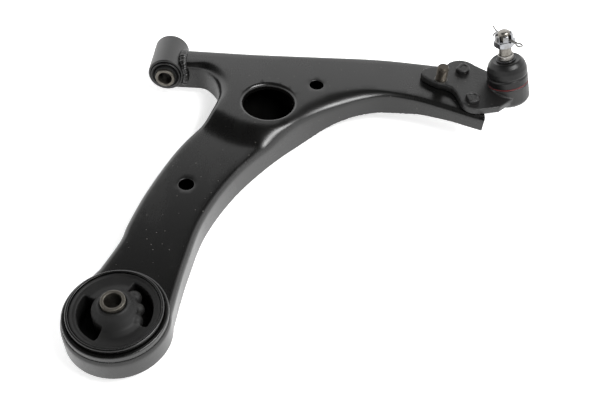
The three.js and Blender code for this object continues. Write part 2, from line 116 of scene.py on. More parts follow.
# ---- shader maths ----
class Signal:
    """A shader output that takes part in Python arithmetic."""

    def __init__(self, board: "Board", socket: bpy.types.NodeSocket) -> None:
        """Keeps the board that the socket's node stands on, and the socket."""
        self.board = board
        self.socket = socket

    def math(self, operation: str, *terms: "Term") -> "Signal":
        """Adds one Math node over the terms, in their order."""
        return self.board.add("ShaderNodeMath", {"operation": operation}, dict(enumerate(terms)))

    def __add__(self, other: "Term") -> "Signal":
        """Sum."""
        return self.math("ADD", self, other)

    __radd__ = __add__

    def __sub__(self, other: "Term") -> "Signal":
        """Difference."""
        return self.math("SUBTRACT", self, other)

    def __rsub__(self, other: "Term") -> "Signal":
        """Difference from a number."""
        return self.math("SUBTRACT", other, self)

    def __mul__(self, other: "Term") -> "Signal":
        """Product."""
        return self.math("MULTIPLY", self, other)

    __rmul__ = __mul__

    def __truediv__(self, other: "Term") -> "Signal":
        """Quotient."""
        return self.math("DIVIDE", self, other)

    def __rtruediv__(self, other: "Term") -> "Signal":
        """A number divided by the signal."""
        return self.math("DIVIDE", other, self)

    def __pow__(self, other: "Term") -> "Signal":
        """Power."""
        return self.math("POWER", self, other)

    def step(self, low: float, high: float) -> "Signal":
        """Rises smoothly from 0 at low to 1 at high."""
        sockets = {"Value": self, "From Min": low, "From Max": high}
        return self.board.add("ShaderNodeMapRange", {"interpolation_type": "SMOOTHSTEP"}, sockets)


Term = Union[Signal, float, Sequence[float]]


class Board:
    """The node tree of one material, or of the world."""

    def __init__(self, owner: Union[bpy.types.Material, bpy.types.World], coords: str = "Object") -> None:
        """Clears the owner's tree and adds its coordinates.

        Args:
            owner: the material or world to draw.
            coords: the kind of coordinates.
        """
        owner.use_nodes = True
        self.tree = owner.node_tree
        self.tree.nodes.clear()
        self.coords = self.add("ShaderNodeTexCoord", {}, {}, output=coords)

    def add(
        self, kind: str, settings: dict, sockets: dict, output: Union[str, int, None] = 0
    ) -> Optional[Signal]:
        """Adds any node.

        Args:
            kind: the node's type.
            settings: its properties, set first.
            sockets: a value or a signal for each input, by name or number.
            output: the output that the signal stands for, or None for a node without one.

        Returns:
            The chosen output.
        """
        node = self.tree.nodes.new(kind)
        for key, value in settings.items():
            setattr(node, key, value)
        for key, value in sockets.items():
            if isinstance(value, Signal):
                self.tree.links.new(value.socket, node.inputs[key])
            else:
                node.inputs[key].default_value = value
        return None if output is None else Signal(self, node.outputs[output])

    def noise(
        self, scale: float, detail: float = 2.0, rough: float = 0.5, at: Optional[Signal] = None
    ) -> Signal:
        """Fractal noise from 0 to 1, its scale in features a metre."""
        sockets = {"Vector": at or self.coords, "Scale": scale, "Detail": detail, "Roughness": rough}
        return self.add("ShaderNodeTexNoise", {}, sockets)

    def specks(self, scale: float, share: float) -> Signal:
        """Round specks, 1 inside and 0 outside, of which a share of the cells has one."""
        cells = {"Vector": self.coords, "Scale": scale}
        distance = self.add("ShaderNodeTexVoronoi", {}, cells)
        pick = self.add("ShaderNodeSeparateColor", {}, {0: self.add("ShaderNodeTexVoronoi", {}, cells, 1)})
        return (1 - distance.step(0.12, 0.3)) * pick.step(1 - share, 1 - share + 0.02)

    def mix(self, factor: Term, first: Term, second: Term) -> Signal:
        """Mixes two colours."""
        settings = {"data_type": "RGBA", "clamp_factor": True}
        return self.add("ShaderNodeMix", settings, {0: factor, 6: first, 7: second}, output=2)

    def bump(self, height: Signal, depth_mm: float, strength: float = 1.0) -> Signal:
        """A normal from a height signal whose full swing is a depth in millimetres."""
        sockets = {"Height": height, "Distance": depth_mm * MM, "Strength": strength}
        return self.add("ShaderNodeBump", {}, sockets)

    def end(self, sockets: dict) -> None:
        """Ends the tree in a Principled shader with these inputs."""
        shader = self.add("ShaderNodeBsdfPrincipled", {}, sockets)
        self.add("ShaderNodeOutputMaterial", {}, {"Surface": shader}, None)


def rgb(red: float, green: float, blue: float) -> tuple[float, float, float, float]:
    """A linear colour as a socket takes it."""
    return (red, green, blue, 1.0)


# ---- places ----
@dataclass(frozen=True)
class Place:
    """Where a sub-assembly's millimetre axes lie in the frame."""

    origin: Vector
    turn: Matrix

    def matrix(self) -> Matrix:
        """The transform from local millimetres to the frame's metres."""
        return Matrix.Translation(self.origin) @ (self.turn.to_4x4() @ Matrix.Scale(MM, 4))

    def point(self, x: float, y: float, z: float) -> Vector:
        """A local point in the frame's metres."""
        return self.matrix() @ Vector((x, y, z))


def box_middle(node: str) -> Vector:
    """The middle of a CAD node's box."""
    low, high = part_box(node)
    return (Vector(low) + Vector(high)) / 2


def joint_facts(name: str) -> tuple[Vector, Vector]:
    """A joint's centre and axis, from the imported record."""
    joint = next(j for j in frame["joints"] if j["name"] == name)
    return Vector(joint["pos_m"]), Vector(joint["axis"]).normalized()


SLEEVE_TOP = 14.0  # height of the rear inner sleeve's upper end over the drawing's datum
BALL_DEPTH = 5.0  # how far the ball's centre lies below the edge that the boot stands on


def arm_place() -> Place:
    """The drawing's datum: the rear bush axis at the height of the arm's top face."""
    middle = box_middle("rear_bush_inner_sleeve")
    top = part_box("rear_bush_inner_sleeve")[1][2]
    return Place(Vector((middle.x, middle.y, top - SLEEVE_TOP * MM)), Matrix.Identity(3))


def tube_place() -> Place:
    """The front bush: its middle, with Z along its bolt towards the rear end."""
    centre, axis = joint_facts("front_bush_twist")
    lean = math.atan2(-axis.z, axis.y)
    return Place(centre, Matrix.Rotation(math.pi / 2 - lean, 3, "X"))


def joint_place() -> Place:
    """The ball joint: the middle of the boot's seat, with Z along the stud."""
    centre, axis = joint_facts("ball_stud_spin")
    turn = Vector((0, 0, 1)).rotation_difference(axis).to_matrix()
    return Place(centre + axis * (BALL_DEPTH * MM), turn)


ARM_AT = arm_place()
TUBE_AT = tube_place()
JOINT_AT = joint_place()


# ---- finishes ----
@dataclass(frozen=True)
class Finish:
    """A surface finish. Each kind draws its own nodes; one finish gives one material."""

    name: str
    slot: Slot

    def material(self) -> bpy.types.Material:
        """The finish's material, made once."""
        title = f"{self.name}_finish"
        known = bpy.data.materials.get(title)
        if known is not None:
            return known
        material = bpy.data.materials.new(title)
        self.draw(Board(material))
        return material

    def draw(self, board: Board) -> None:
        """Draws the nodes on an empty board."""
        raise NotImplementedError


@dataclass(frozen=True)
class Coating(Finish):
    """Black dip coating over pressed or forged steel."""

    colour: tuple = (0.0013, 0.0013, 0.0012)
    haze: tuple = (0.0023, 0.0022, 0.0019)
    gloss: float = 0.22
    peel: float = 0.012
    pits: float = 0.0
    dust: float = 0.035

    def draw(self, board: Board) -> None:
        """Draws thin haze and smears, fine orange peel, forging pits and a few dust specks."""
        smear_at = board.add("ShaderNodeMapping", {}, {"Vector": board.coords, "Scale": (1.0, 0.35, 1.0)})
        smear = board.noise(34, 5, 0.62, smear_at)
        cloud = board.noise(9, 2, 0.5)
        grain = board.noise(1900, 2, 0.6)
        veil = smear.step(0.44, 0.74) * 0.55 + cloud.step(0.35, 0.7) * 0.45
        speck = board.specks(420, self.dust)
        body = board.mix(veil, rgb(*self.colour), rgb(*self.haze))
        colour = board.mix(speck, body, rgb(0.07, 0.066, 0.06))
        roughness = self.gloss + veil * 0.1 + grain * 0.06 + speck * 0.3
        relief = board.noise(620, 2, 0.5) * 0.6 + grain * 0.16 + speck * 0.5
        if self.pits:
            pit = board.noise(260, 4, 0.7).step(0.3, 0.62)
            relief = relief + pit * (self.pits / self.peel)
        board.end({
            "Base Color": colour,
            "Roughness": roughness,
            "Metallic": 0.0,
            "Specular IOR Level": 0.5,
            "Normal": board.bump(relief, self.peel),
        })


@dataclass(frozen=True)
class Rubber(Finish):
    """Moulded rubber with a dusty bloom."""

    colour: tuple = (0.0045, 0.0045, 0.0045)
    bloom: tuple = (0.011, 0.0105, 0.0092)
    bloom_share: float = 0.5
    roughness: float = 0.5
    flow: float = 0.02

    def draw(self, board: Board) -> None:
        """Draws bloom in patches, release smears and the mould's fine texture."""
        cloud = board.noise(55, 4, 0.6)
        streak_at = board.add("ShaderNodeMapping", {}, {"Vector": board.coords, "Scale": (1.0, 1.0, 0.3)})
        streak = board.noise(160, 3, 0.6, streak_at)
        fine = board.noise(2600, 2, 0.6)
        veil = (cloud.step(0.4, 0.72) * 0.6 + streak.step(0.45, 0.8) * 0.4) * self.bloom_share
        board.end({
            "Base Color": board.mix(veil, rgb(*self.colour), rgb(*self.bloom)),
            "Roughness": self.roughness + veil * 0.25 + fine * 0.08,
            "Specular IOR Level": 0.25,
            "Normal": board.bump(streak * 0.7 + fine * 0.3, self.flow),
        })


@dataclass(frozen=True)
class TurnedSteel(Finish):
    """Machined steel, with the tool's rings round an axis."""

    place: Place = ARM_AT
    colour: tuple = (0.12, 0.112, 0.098)
    stain: tuple = (0.05, 0.045, 0.037)
    roughness: float = 0.36
    rings: float = 0.006

    def draw(self, board: Board) -> None:
        """Draws tool rings from the distance to the axis and the height along it, over stains."""
        settings = {"vector_type": "TEXTURE"}
        turn = tuple(self.place.turn.to_euler())
        sockets = {"Vector": board.coords, "Location": self.place.origin, "Rotation": turn}
        local = board.add("ShaderNodeMapping", settings, sockets)
        flat = board.add("ShaderNodeVectorMath", {"operation": "MULTIPLY"}, {0: local, 1: (1.0, 1.0, 0.0)})
        radius = board.add("ShaderNodeVectorMath", {"operation": "LENGTH"}, {0: flat}, output="Value")
        height = board.add("ShaderNodeSeparateXYZ", {}, {0: local}, output="Z")
        marks = board.add(
            "ShaderNodeTexNoise",
            {"noise_dimensions": "1D"},
            {"W": radius * 1.0 + height * 0.9, "Scale": 5200.0, "Detail": 2.0, "Roughness": 0.6},
        )
        stain = board.noise(190, 4, 0.65).step(0.42, 0.72)
        grain = board.noise(2400, 2, 0.5)
        board.end({
            "Base Color": board.mix(stain * 0.75, rgb(*self.colour), rgb(*self.stain)),
            "Roughness": self.roughness + stain * 0.16 + marks * 0.12,
            "Metallic": 1.0 - stain * 0.2,
            "Normal": board.bump(marks * 0.7 + grain * 0.3, self.rings),
        })


@dataclass(frozen=True)
class Plating(Finish):
    """Zinc plate: bright, mottled and faintly pitted."""

    colour: tuple = (0.26, 0.266, 0.28)
    tint: tuple = (0.15, 0.142, 0.122)
    roughness: float = 0.22

    def draw(self, board: Board) -> None:
        """Draws crystal mottle, a passivation tint and handling scratches."""
        mottle = board.noise(520, 4, 0.6)
        tint = board.noise(110, 3, 0.55).step(0.4, 0.7)
        scratch_at = board.add("ShaderNodeMapping", {}, {"Vector": board.coords, "Scale": (1.0, 6.0, 0.4)})
        scratch = board.noise(900, 2, 0.7, scratch_at).step(0.62, 0.7)
        board.end({
            "Base Color": board.mix(tint * 0.7, rgb(*self.colour), rgb(*self.tint)),
            "Roughness": self.roughness + mottle * 0.14 + scratch * 0.12,
            "Metallic": 1.0 - scratch * 0.1,
            "Normal": board.bump(mottle + scratch * 0.4, 0.01),
        })


@dataclass(frozen=True)
class Plastic(Finish):
    """Moulded plastic or a painted ring."""

    colour: tuple = (0.6, 0.57, 0.48)
    shade: tuple = (0.45, 0.42, 0.34)
    roughness: float = 0.42

    def draw(self, board: Board) -> None:
        """Draws uneven colour, grease film and mould grain."""
        cloud = board.noise(150, 3, 0.6)
        grain = board.noise(1700, 2, 0.5)
        board.end({
            "Base Color": board.mix(cloud.step(0.35, 0.7), rgb(*self.colour), rgb(*self.shade)),
            "Roughness": self.roughness + cloud * 0.15 + grain * 0.05,
            "Normal": board.bump(grain, 0.01),
        })


PAINT = Coating("satin_black_coating", Slot.PAINT)
TUBE_PAINT = Coating("satin_black_on_tube", Slot.PAINT, gloss=0.36, peel=0.018, pits=0.02)
WELD_PAINT = Coating("coated_weld", Slot.WELD, gloss=0.26, peel=0.02, pits=0.035, dust=0.08)
FORGING = Coating("coated_forging", Slot.FORGING, gloss=0.4, peel=0.02, pits=0.055, dust=0.05)
BUSH_RUBBER = Rubber("bush_rubber", Slot.BUSH_RUBBER)
FRONT_RUBBER = Rubber("front_bush_rubber", Slot.BUSH_RUBBER, bloom_share=0.25, roughness=0.6)
BOOT_RUBBER = Rubber(
    "boot_rubber", Slot.BOOT_RUBBER, bloom=(0.006, 0.006, 0.0063), bloom_share=0.4, roughness=0.3, flow=0.012
)
REAR_STEEL = TurnedSteel("rear_sleeve_steel", Slot.SLEEVE, ARM_AT)
FRONT_STEEL = TurnedSteel("front_sleeve_steel", Slot.SLEEVE, TUBE_AT)
STUD_STEEL = TurnedSteel(
    "stud_steel", Slot.STUD, JOINT_AT, (0.2, 0.19, 0.172), (0.09, 0.08, 0.066), roughness=0.24
)
SPRING_STEEL = TurnedSteel(
    "spring_steel", Slot.SPRING, JOINT_AT, (0.06, 0.06, 0.062), (0.035, 0.035, 0.032), roughness=0.3
)
SPACER_STEEL = TurnedSteel(
    "spacer_steel", Slot.STUD, JOINT_AT, (0.34, 0.33, 0.315), (0.2, 0.19, 0.165), roughness=0.26
)
ZINC = Plating("bright_zinc", Slot.ZINC)
DULL_ZINC = Plating("dull_zinc", Slot.ZINC, (0.16, 0.16, 0.152), (0.09, 0.085, 0.074), 0.34)
DARK_ZINC = Plating("dark_zinc", Slot.DARK_ZINC, (0.06, 0.053, 0.044), (0.03, 0.026, 0.021), 0.38)
SEAT_PLASTIC = Plastic("seat_plastic", Slot.SEAT)
RED_RING = Plastic("red_ring", Slot.RED, (0.11, 0.009, 0.011), (0.06, 0.006, 0.007), 0.45)


# ---- outlines and profiles ----
def rounded(corners: Sequence[Corner], steps: int = 4) -> list[Pair]:
    """Rounds the corners of a closed outline.

    Args:
        corners: x, y and rounding radius of each corner.
        steps: facets in each rounding.

    Returns:
        The outline's points, with a point just beside each rounding to keep the flats flat.
    """
    points: list[Pair] = []
    for i, (x, y, radius) in enumerate(corners):
        tip = Vector((x, y))
        back = Vector(corners[i - 1][:2]) - tip
        ahead = Vector(corners[(i + 1) % len(corners)][:2]) - tip
        if radius <= 0:
            points.append((x, y))
            continue
        half = back.angle(ahead) / 2
        reach = min(radius / math.tan(half), 0.44 * back.length, 0.44 * ahead.length)
        u, v = back.normalized(), ahead.normalized()
        centre = tip + (u + v).normalized() * (reach / math.cos(half))
        start = tip + u * reach - centre
        end = tip + v * reach - centre
        sweep = start.angle(end)
        points.append(tuple(tip + u * reach * 1.12))
        for k in range(steps + 1):
            share = k / steps
            arm = start * math.sin((1 - share) * sweep) + end * math.sin(share * sweep)
            points.append(tuple(centre + arm / math.sin(sweep)))
        points.append(tuple(tip + v * reach * 1.12))
    return points


def spline(points: Sequence[Pair], spacing: float) -> list[Vector]:
    """A smooth curve through the points.

    Args:
        points: where the curve passes.
        spacing: the length of its steps.

    Returns:
        The curve's points, first and last included.
    """
    knots = [Vector(p) for p in points]
    path: list[Vector] = []
    for i in range(len(knots) - 1):
        before, start, end = knots[max(i - 1, 0)], knots[i], knots[i + 1]
        after = knots[min(i + 2, len(knots) - 1)]
        steps = max(2, round((end - start).length / spacing))
        for k in range(steps):
            t = k / steps
            slope_in = (end - before) / 2
            slope_out = (after - start) / 2
            path.append(
                (2 * t**3 - 3 * t**2 + 1) * start
                + (t**3 - 2 * t**2 + t) * slope_in
                + (3 * t**2 - 2 * t**3) * end
                + (t**3 - t**2) * slope_out
            )
    return [*path, knots[-1]]


def arc(centre: Pair, radius: float, start: float, end: float, spacing: float) -> list[Vector]:
    """A circular arc between two angles in degrees."""
    sweep = math.radians(end - start)
    steps = max(3, round(abs(sweep) * radius / spacing))
    angles = [math.radians(start) + sweep * k / steps for k in range(steps + 1)]
    return [Vector((centre[0] + radius * math.cos(a), centre[1] + radius * math.sin(a))) for a in angles]


def smooth(value: float) -> float:
    """Rises smoothly from 0 to 1, and stays there."""
    t = min(1.0, max(0.0, value))
    return t * t * (3 - 2 * t)


def normals_of(loop: np.ndarray) -> np.ndarray:
    """The inward normals of a counter-clockwise loop."""
    along = np.roll(loop, -1, 0) - np.roll(loop, 1, 0)
    along /= np.linalg.norm(along, axis=1)[:, None]
    return np.stack([-along[:, 1], along[:, 0]], 1)


def inside(points: np.ndarray, loop: np.ndarray) -> np.ndarray:
    """Which points lie inside a closed loop."""
    x, y = points[:, 0][:, None], points[:, 1][:, None]
    ax, ay = loop[:, 0][None], loop[:, 1][None]
    bx, by = np.roll(loop[:, 0], -1)[None], np.roll(loop[:, 1], -1)[None]
    spans = (ay > y) != (by > y)
    rise = np.where(by == ay, 1e-12, by - ay)
    hits = spans & (x < ax + (bx - ax) * (y - ay) / rise)
    return hits.sum(1) % 2 == 1


# ---- mesh work ----
@dataclass
class Form:
    """Vertices in local millimetres, and faces."""

    verts: list
    faces: list

    def moved(self, matrix: Matrix) -> "Form":
        """A copy with every vertex moved by the matrix."""
        return Form([matrix @ Vector(v) for v in self.verts], list(self.faces))


def strips(rows: Sequence[Sequence[int]], closed: bool = True) -> list[tuple[int, ...]]:
    """The quads between rows of equal length."""
    faces = []
    for low, high in zip(rows, rows[1:]):
        count = len(low)
        for i in range(count if closed else count - 1):
            j = (i + 1) % count
            faces.append((low[i], low[j], high[j], high[i]))
    return faces


def revolved(profile: Sequence[Pair], segments: int = 96, shape: Optional[Shape] = None) -> Form:
    """Turns a closed profile round Z.

    Args:
        profile: radius and height of each point; the last joins the first.
        segments: steps round the axis.
        shape: gives the radius from the angle, the profile's radius and its height.

    Returns:
        The closed form.
    """
    verts = []
    for k in range(segments):
        angle = 2 * math.pi * k / segments
        for radius, height in profile:
            reach = shape(angle, radius, height) if shape and radius > 0 else radius
            verts.append(Vector((reach * math.cos(angle), reach * math.sin(angle), height)))
    count = len(profile)
    rows = [[k * count + i for i in range(count)] for k in range(segments)]
    return Form(verts, strips([*rows, rows[0]]))


def prism(outline: Sequence[Pair], low: float, high: float) -> Form:
    """An upright prism over an outline."""
    count = len(outline)
    verts = [Vector((x, y, z)) for z in (low, high) for x, y in outline]
    rows = [list(range(count)), list(range(count, 2 * count))]
    return Form(verts, [*strips(rows), tuple(reversed(rows[0])), tuple(rows[1])])


def box_form(size: Corner, centre: Corner) -> Form:
    """A box of a size about a centre."""
    x, y, z = (v / 2 for v in size)
    body = prism([(-x, -y), (x, -y), (x, y), (-x, y)], -z, z)
    return body.moved(Matrix.Translation(centre))


def wire_form(path: Sequence[Vector], radius: float, sides: int = 14, flat: Optional[Vector] = None) -> Form:
    """A round wire along a path, with domed ends.

    Args:
        path: the wire's centreline.
        radius: its radius.
        sides: facets round it.
        flat: a first direction across the wire, where the turn of its facets matters.

    Returns:
        The closed form.
    """
    points = [Vector(p) for p in path]
    verts, rows = [], []
    across = flat or Vector((0.31, 0.17, 1.0))
    dome = [(0.35, -0.9), (0.75, -0.6)]
    stations: list[tuple[Vector, Vector, float]] = []
    for i, point in enumerate(points):
        ahead = (points[min(i + 1, len(points) - 1)] - points[max(i - 1, 0)]).normalized()
        if i == 0:
            stations += [(point + ahead * radius * z, ahead, radius * r) for r, z in dome]
        stations.append((point, ahead, radius))
        if i == len(points) - 1:
            stations += [(point - ahead * radius * z, ahead, radius * r) for r, z in reversed(dome)]
    for point, ahead, reach in stations:
        across = (across - ahead * across.dot(ahead)).normalized()
        side = ahead.cross(across)
        rows.append(list(range(len(verts), len(verts) + sides)))
        for k in range(sides):
            angle = 2 * math.pi * k / sides
            verts.append(point + (across * math.cos(angle) + side * math.sin(angle)) * reach)
    return Form(verts, [*strips(rows), tuple(reversed(rows[0])), tuple(rows[-1])])


class Solid:
    """A mesh under construction, in local millimetres."""

    def __init__(self, form: Form) -> None:
        """Makes a mesh object of the form, its doubles merged and its faces outwards.

        Args:
            form: vertices and faces.
        """
        mesh = bpy.data.meshes.new("draft")
        mesh.from_pydata(form.verts, [], form.faces)
        self.obj = bpy.data.objects.new("draft", mesh)
        bpy.context.scene.collection.objects.link(self.obj)
        self.edit(self._clean)

    @staticmethod
    def _clean(bm: bmesh.types.BMesh) -> None:
        """Merges doubles, drops faces without area and turns the rest outwards."""
        bmesh.ops.remove_doubles(bm, verts=bm.verts, dist=1e-4)
        bmesh.ops.dissolve_degenerate(bm, edges=bm.edges, dist=1e-5)
        bmesh.ops.recalc_face_normals(bm, faces=bm.faces)

    def edit(self, work: Callable[[bmesh.types.BMesh], None]) -> "Solid":
        """Runs bmesh work on the mesh."""
        bm = bmesh.new()
        bm.from_mesh(self.obj.data)
        work(bm)
        bm.to_mesh(self.obj.data)
        bm.free()
        return self

    def modified(self, kind: str, **settings) -> "Solid":
        """Applies one modifier.

        Args:
            kind: the modifier's type.
            **settings: its properties.

        Returns:
            This solid.
        """
        modifier = self.obj.modifiers.new("step", kind)
        for key, value in settings.items():
            setattr(modifier, key, value)
        depsgraph = bpy.context.evaluated_depsgraph_get()
        made = bpy.data.meshes.new_from_object(self.obj.evaluated_get(depsgraph))
        old = self.obj.data
        self.obj.modifiers.clear()
        self.obj.data = made
        bpy.data.meshes.remove(old)
        return self

    def discard(self) -> None:
        """Deletes the object and its mesh."""
        mesh = self.obj.data
        bpy.data.objects.remove(self.obj)
        bpy.data.meshes.remove(mesh)

    def combined(self, operation: str, tools: Iterable["Solid"]) -> "Solid":
        """Runs one boolean for each tool, and deletes the tools."""
        for tool in tools:
            self.modified("BOOLEAN", operation=operation, solver="EXACT", object=tool.obj)
            tool.discard()
        return self

    def cut(self, *tools: "Solid") -> "Solid":
        """Cuts the tools away."""
        return self.combined("DIFFERENCE", tools)

    def add(self, *tools: "Solid") -> "Solid":
        """Joins the tools to this solid."""
        return self.combined("UNION", tools)

    def keep(self, tool: "Solid") -> "Solid":
        """Keeps what lies inside the tool."""
        return self.combined("INTERSECT", [tool])

    def copy(self) -> "Solid":
        """A second solid with the same mesh."""
        other = Solid(Form([], []))
        blank = other.obj.data
        other.obj.data = self.obj.data.copy()
        bpy.data.meshes.remove(blank)
        return other

    def melted(self, voxel: float, passes: int) -> "Solid":
        """Remeshes with voxels and smooths, which rounds every edge as a forging or a mould does.

        Args:
            voxel: the voxel size.
            passes: smoothing passes.

        Returns:
            This solid.
        """
        self.modified("REMESH", mode="VOXEL", voxel_size=voxel, use_smooth_shade=True)
        return self.modified("SMOOTH", factor=0.5, iterations=passes)

    def trimmed(self, beyond: Callable[[Vector], float]) -> "Solid":
        """Cuts the mesh along the zero line of a function, and drops where it is positive.

        Args:
            beyond: the function of a point.

        Returns:
            This solid, open along the cut.
        """

        def work(bm: bmesh.types.BMesh) -> None:
            """Splits the crossed edges, joins the splits and deletes what lies beyond."""
            values = {v: beyond(v.co) for v in bm.verts}
            crossed = [e for e in bm.edges if values[e.verts[0]] * values[e.verts[1]] < 0]
            made = []
            for edge in crossed:
                start, end = edge.verts
                share = values[start] / (values[start] - values[end])
                _, vert = bmesh.utils.edge_split(edge, start, share)
                values[vert] = 0.0
                made.append(vert)
            bmesh.ops.connect_verts(bm, verts=made)
            gone = [v for v in bm.verts if values.get(v, 0.0) > 0]
            bmesh.ops.delete(bm, geom=gone, context="VERTS")

        return self.edit(work)

    def placed(
        self,
        name: str,
        place: Place,
        finish: Finish,
        body: Optional[Body],
        stands_for: Sequence[str] = (),
        sharp: float = 38.0,
    ) -> bpy.types.Object:
        """body: the body it rides on, or None for a piece that rides on no body.
            stands_for: the CAD nodes that it replaces.
            sharp: the angle in degrees past which an edge stays sharp.

        Returns:
            The piece.
        """
        mesh = self.obj.data
        mesh.transform(place.matrix())
        mesh.name = name
        self.obj.name = name
        mesh.polygons.foreach_set("use_smooth", [True] * len(mesh.polygons))
        mesh.set_sharp_from_angle(angle=math.radians(sharp))
        mesh.materials.clear()
        mesh.materials.append(finish.material())
        mesh.polygons.foreach_set("material_index", [0] * len(mesh.polygons))
        mesh.update()
        if body is not None:
            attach(self.obj, body.value)
        if stands_for:
            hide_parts(*stands_for)
        mesh.calc_loop_triangles()
        LOG.info("%s: %d triangles", name, len(mesh.loop_triangles))
        return self.obj


# ---- repeated pieces ----
@dataclass(frozen=True)
class BeadTree:
    """Geometry Nodes that lay overlapping ripples along a path, as a weld bead solidifies."""

    name: str
    spacing: float
    radius: float
    stretch: tuple = (0.7, 1.0, 0.8)
    wobble: float = 0.16
    seed: int = 7

    def tree(self, material: bpy.types.Material) -> bpy.types.NodeTree:
        """Builds the node group.

        Args:
            material: the bead's material.

        Returns:
            The group, with Spacing, Ripple radius, Wobble and Seed as named inputs.
        """
        group = bpy.data.node_groups.new(self.name, "GeometryNodeTree")
        face = group.interface
        face.new_socket("Path", in_out="INPUT", socket_type="NodeSocketGeometry")
        for label in ("Spacing", "Ripple radius", "Wobble"):
            face.new_socket(label, in_out="INPUT", socket_type="NodeSocketFloat")
        face.new_socket("Seed", in_out="INPUT", socket_type="NodeSocketInt")
        face.new_socket("Bead", in_out="OUTPUT", socket_type="NodeSocketGeometry")
        nodes, link = group.nodes, group.links.new
        source, sink = nodes.new("NodeGroupInput"), nodes.new("NodeGroupOutput")
        curve = nodes.new("GeometryNodeMeshToCurve")
        resample = nodes.new("GeometryNodeResampleCurve")
        resample.mode = "LENGTH"
        ripple = nodes.new("GeometryNodeMeshIcoSphere")
        ripple.inputs["Subdivisions"].default_value = 3
        shaped = nodes.new("GeometryNodeTransform")
        shaped.inputs["Scale"].default_value = self.stretch
        tangent = nodes.new("GeometryNodeInputTangent")
        align = nodes.new("FunctionNodeAlignEulerToVector")
        align.axis = "X"
        size = nodes.new("FunctionNodeRandomValue")
        size.data_type = "FLOAT"
        low, high = (self._math(nodes, link, op, source.outputs["Wobble"]) for op in ("SUBTRACT", "ADD"))
        lay = nodes.new("GeometryNodeInstanceOnPoints")
        real = nodes.new("GeometryNodeRealizeInstances")
        paint = nodes.new("GeometryNodeSetMaterial")
        paint.inputs["Material"].default_value = material
        link(source.outputs["Path"], curve.inputs[0])
        link(curve.outputs[0], resample.inputs["Curve"])
        link(source.outputs["Spacing"], resample.inputs["Length"])
        link(source.outputs["Ripple radius"], ripple.inputs["Radius"])
        link(ripple.outputs[0], shaped.inputs["Geometry"])
        link(tangent.outputs[0], align.inputs["Vector"])
        link(low, size.inputs[2])
        link(high, size.inputs[3])
        link(source.outputs["Seed"], size.inputs["Seed"])
        link(resample.outputs[0], lay.inputs["Points"])
        link(shaped.outputs[0], lay.inputs["Instance"])
        link(align.outputs[0], lay.inputs["Rotation"])
        link(size.outputs[1], lay.inputs["Scale"])
        link(lay.outputs[0], real.inputs[0])
        link(real.outputs[0], paint.inputs[0])
        link(paint.outputs[0], sink.inputs[0])
        return group

    @staticmethod
    def _math(
        nodes: bpy.types.Nodes, link: Callable, operation: str, amount: bpy.types.NodeSocket
    ) -> bpy.types.NodeSocket:
        """One plus or minus the amount, as ADD or SUBTRACT says."""
        node = nodes.new("ShaderNodeMath")
        node.operation = operation
        node.inputs[0].default_value = 1.0
        link(amount, node.inputs[1])
        return node.outputs[0]

    def laid(self, path: Sequence[Vector], finish: Finish) -> Solid:
        """Lays the bead along a path in local millimetres.

        Args:
            path: the points that the bead follows.
            finish: its finish.

        Returns:
            The bead as a solid.
        """
        solid = Solid(Form([], []))
        solid.obj.data.from_pydata([Vector(p) for p in path], [(i, i + 1) for i in range(len(path) - 1)], [])
        group = self.tree(finish.material())
        modifier = solid.obj.modifiers.new("bead", "NODES")
        modifier.node_group = group
        sizes = {
            "Spacing": self.spacing,
            "Ripple radius": self.radius,
            "Wobble": self.wobble,
            "Seed": self.seed,
        }
        for item in group.interface.items_tree:
            if item.in_out == "INPUT" and item.name in sizes:
                modifier[item.identifier] = sizes[item.name]
        solid.obj.data.update()
        depsgraph = bpy.context.evaluated_depsgraph_get()
        made = bpy.data.meshes.new_from_object(solid.obj.evaluated_get(depsgraph))
        solid.obj.modifiers.clear()
        solid.obj.data = made
        return solid


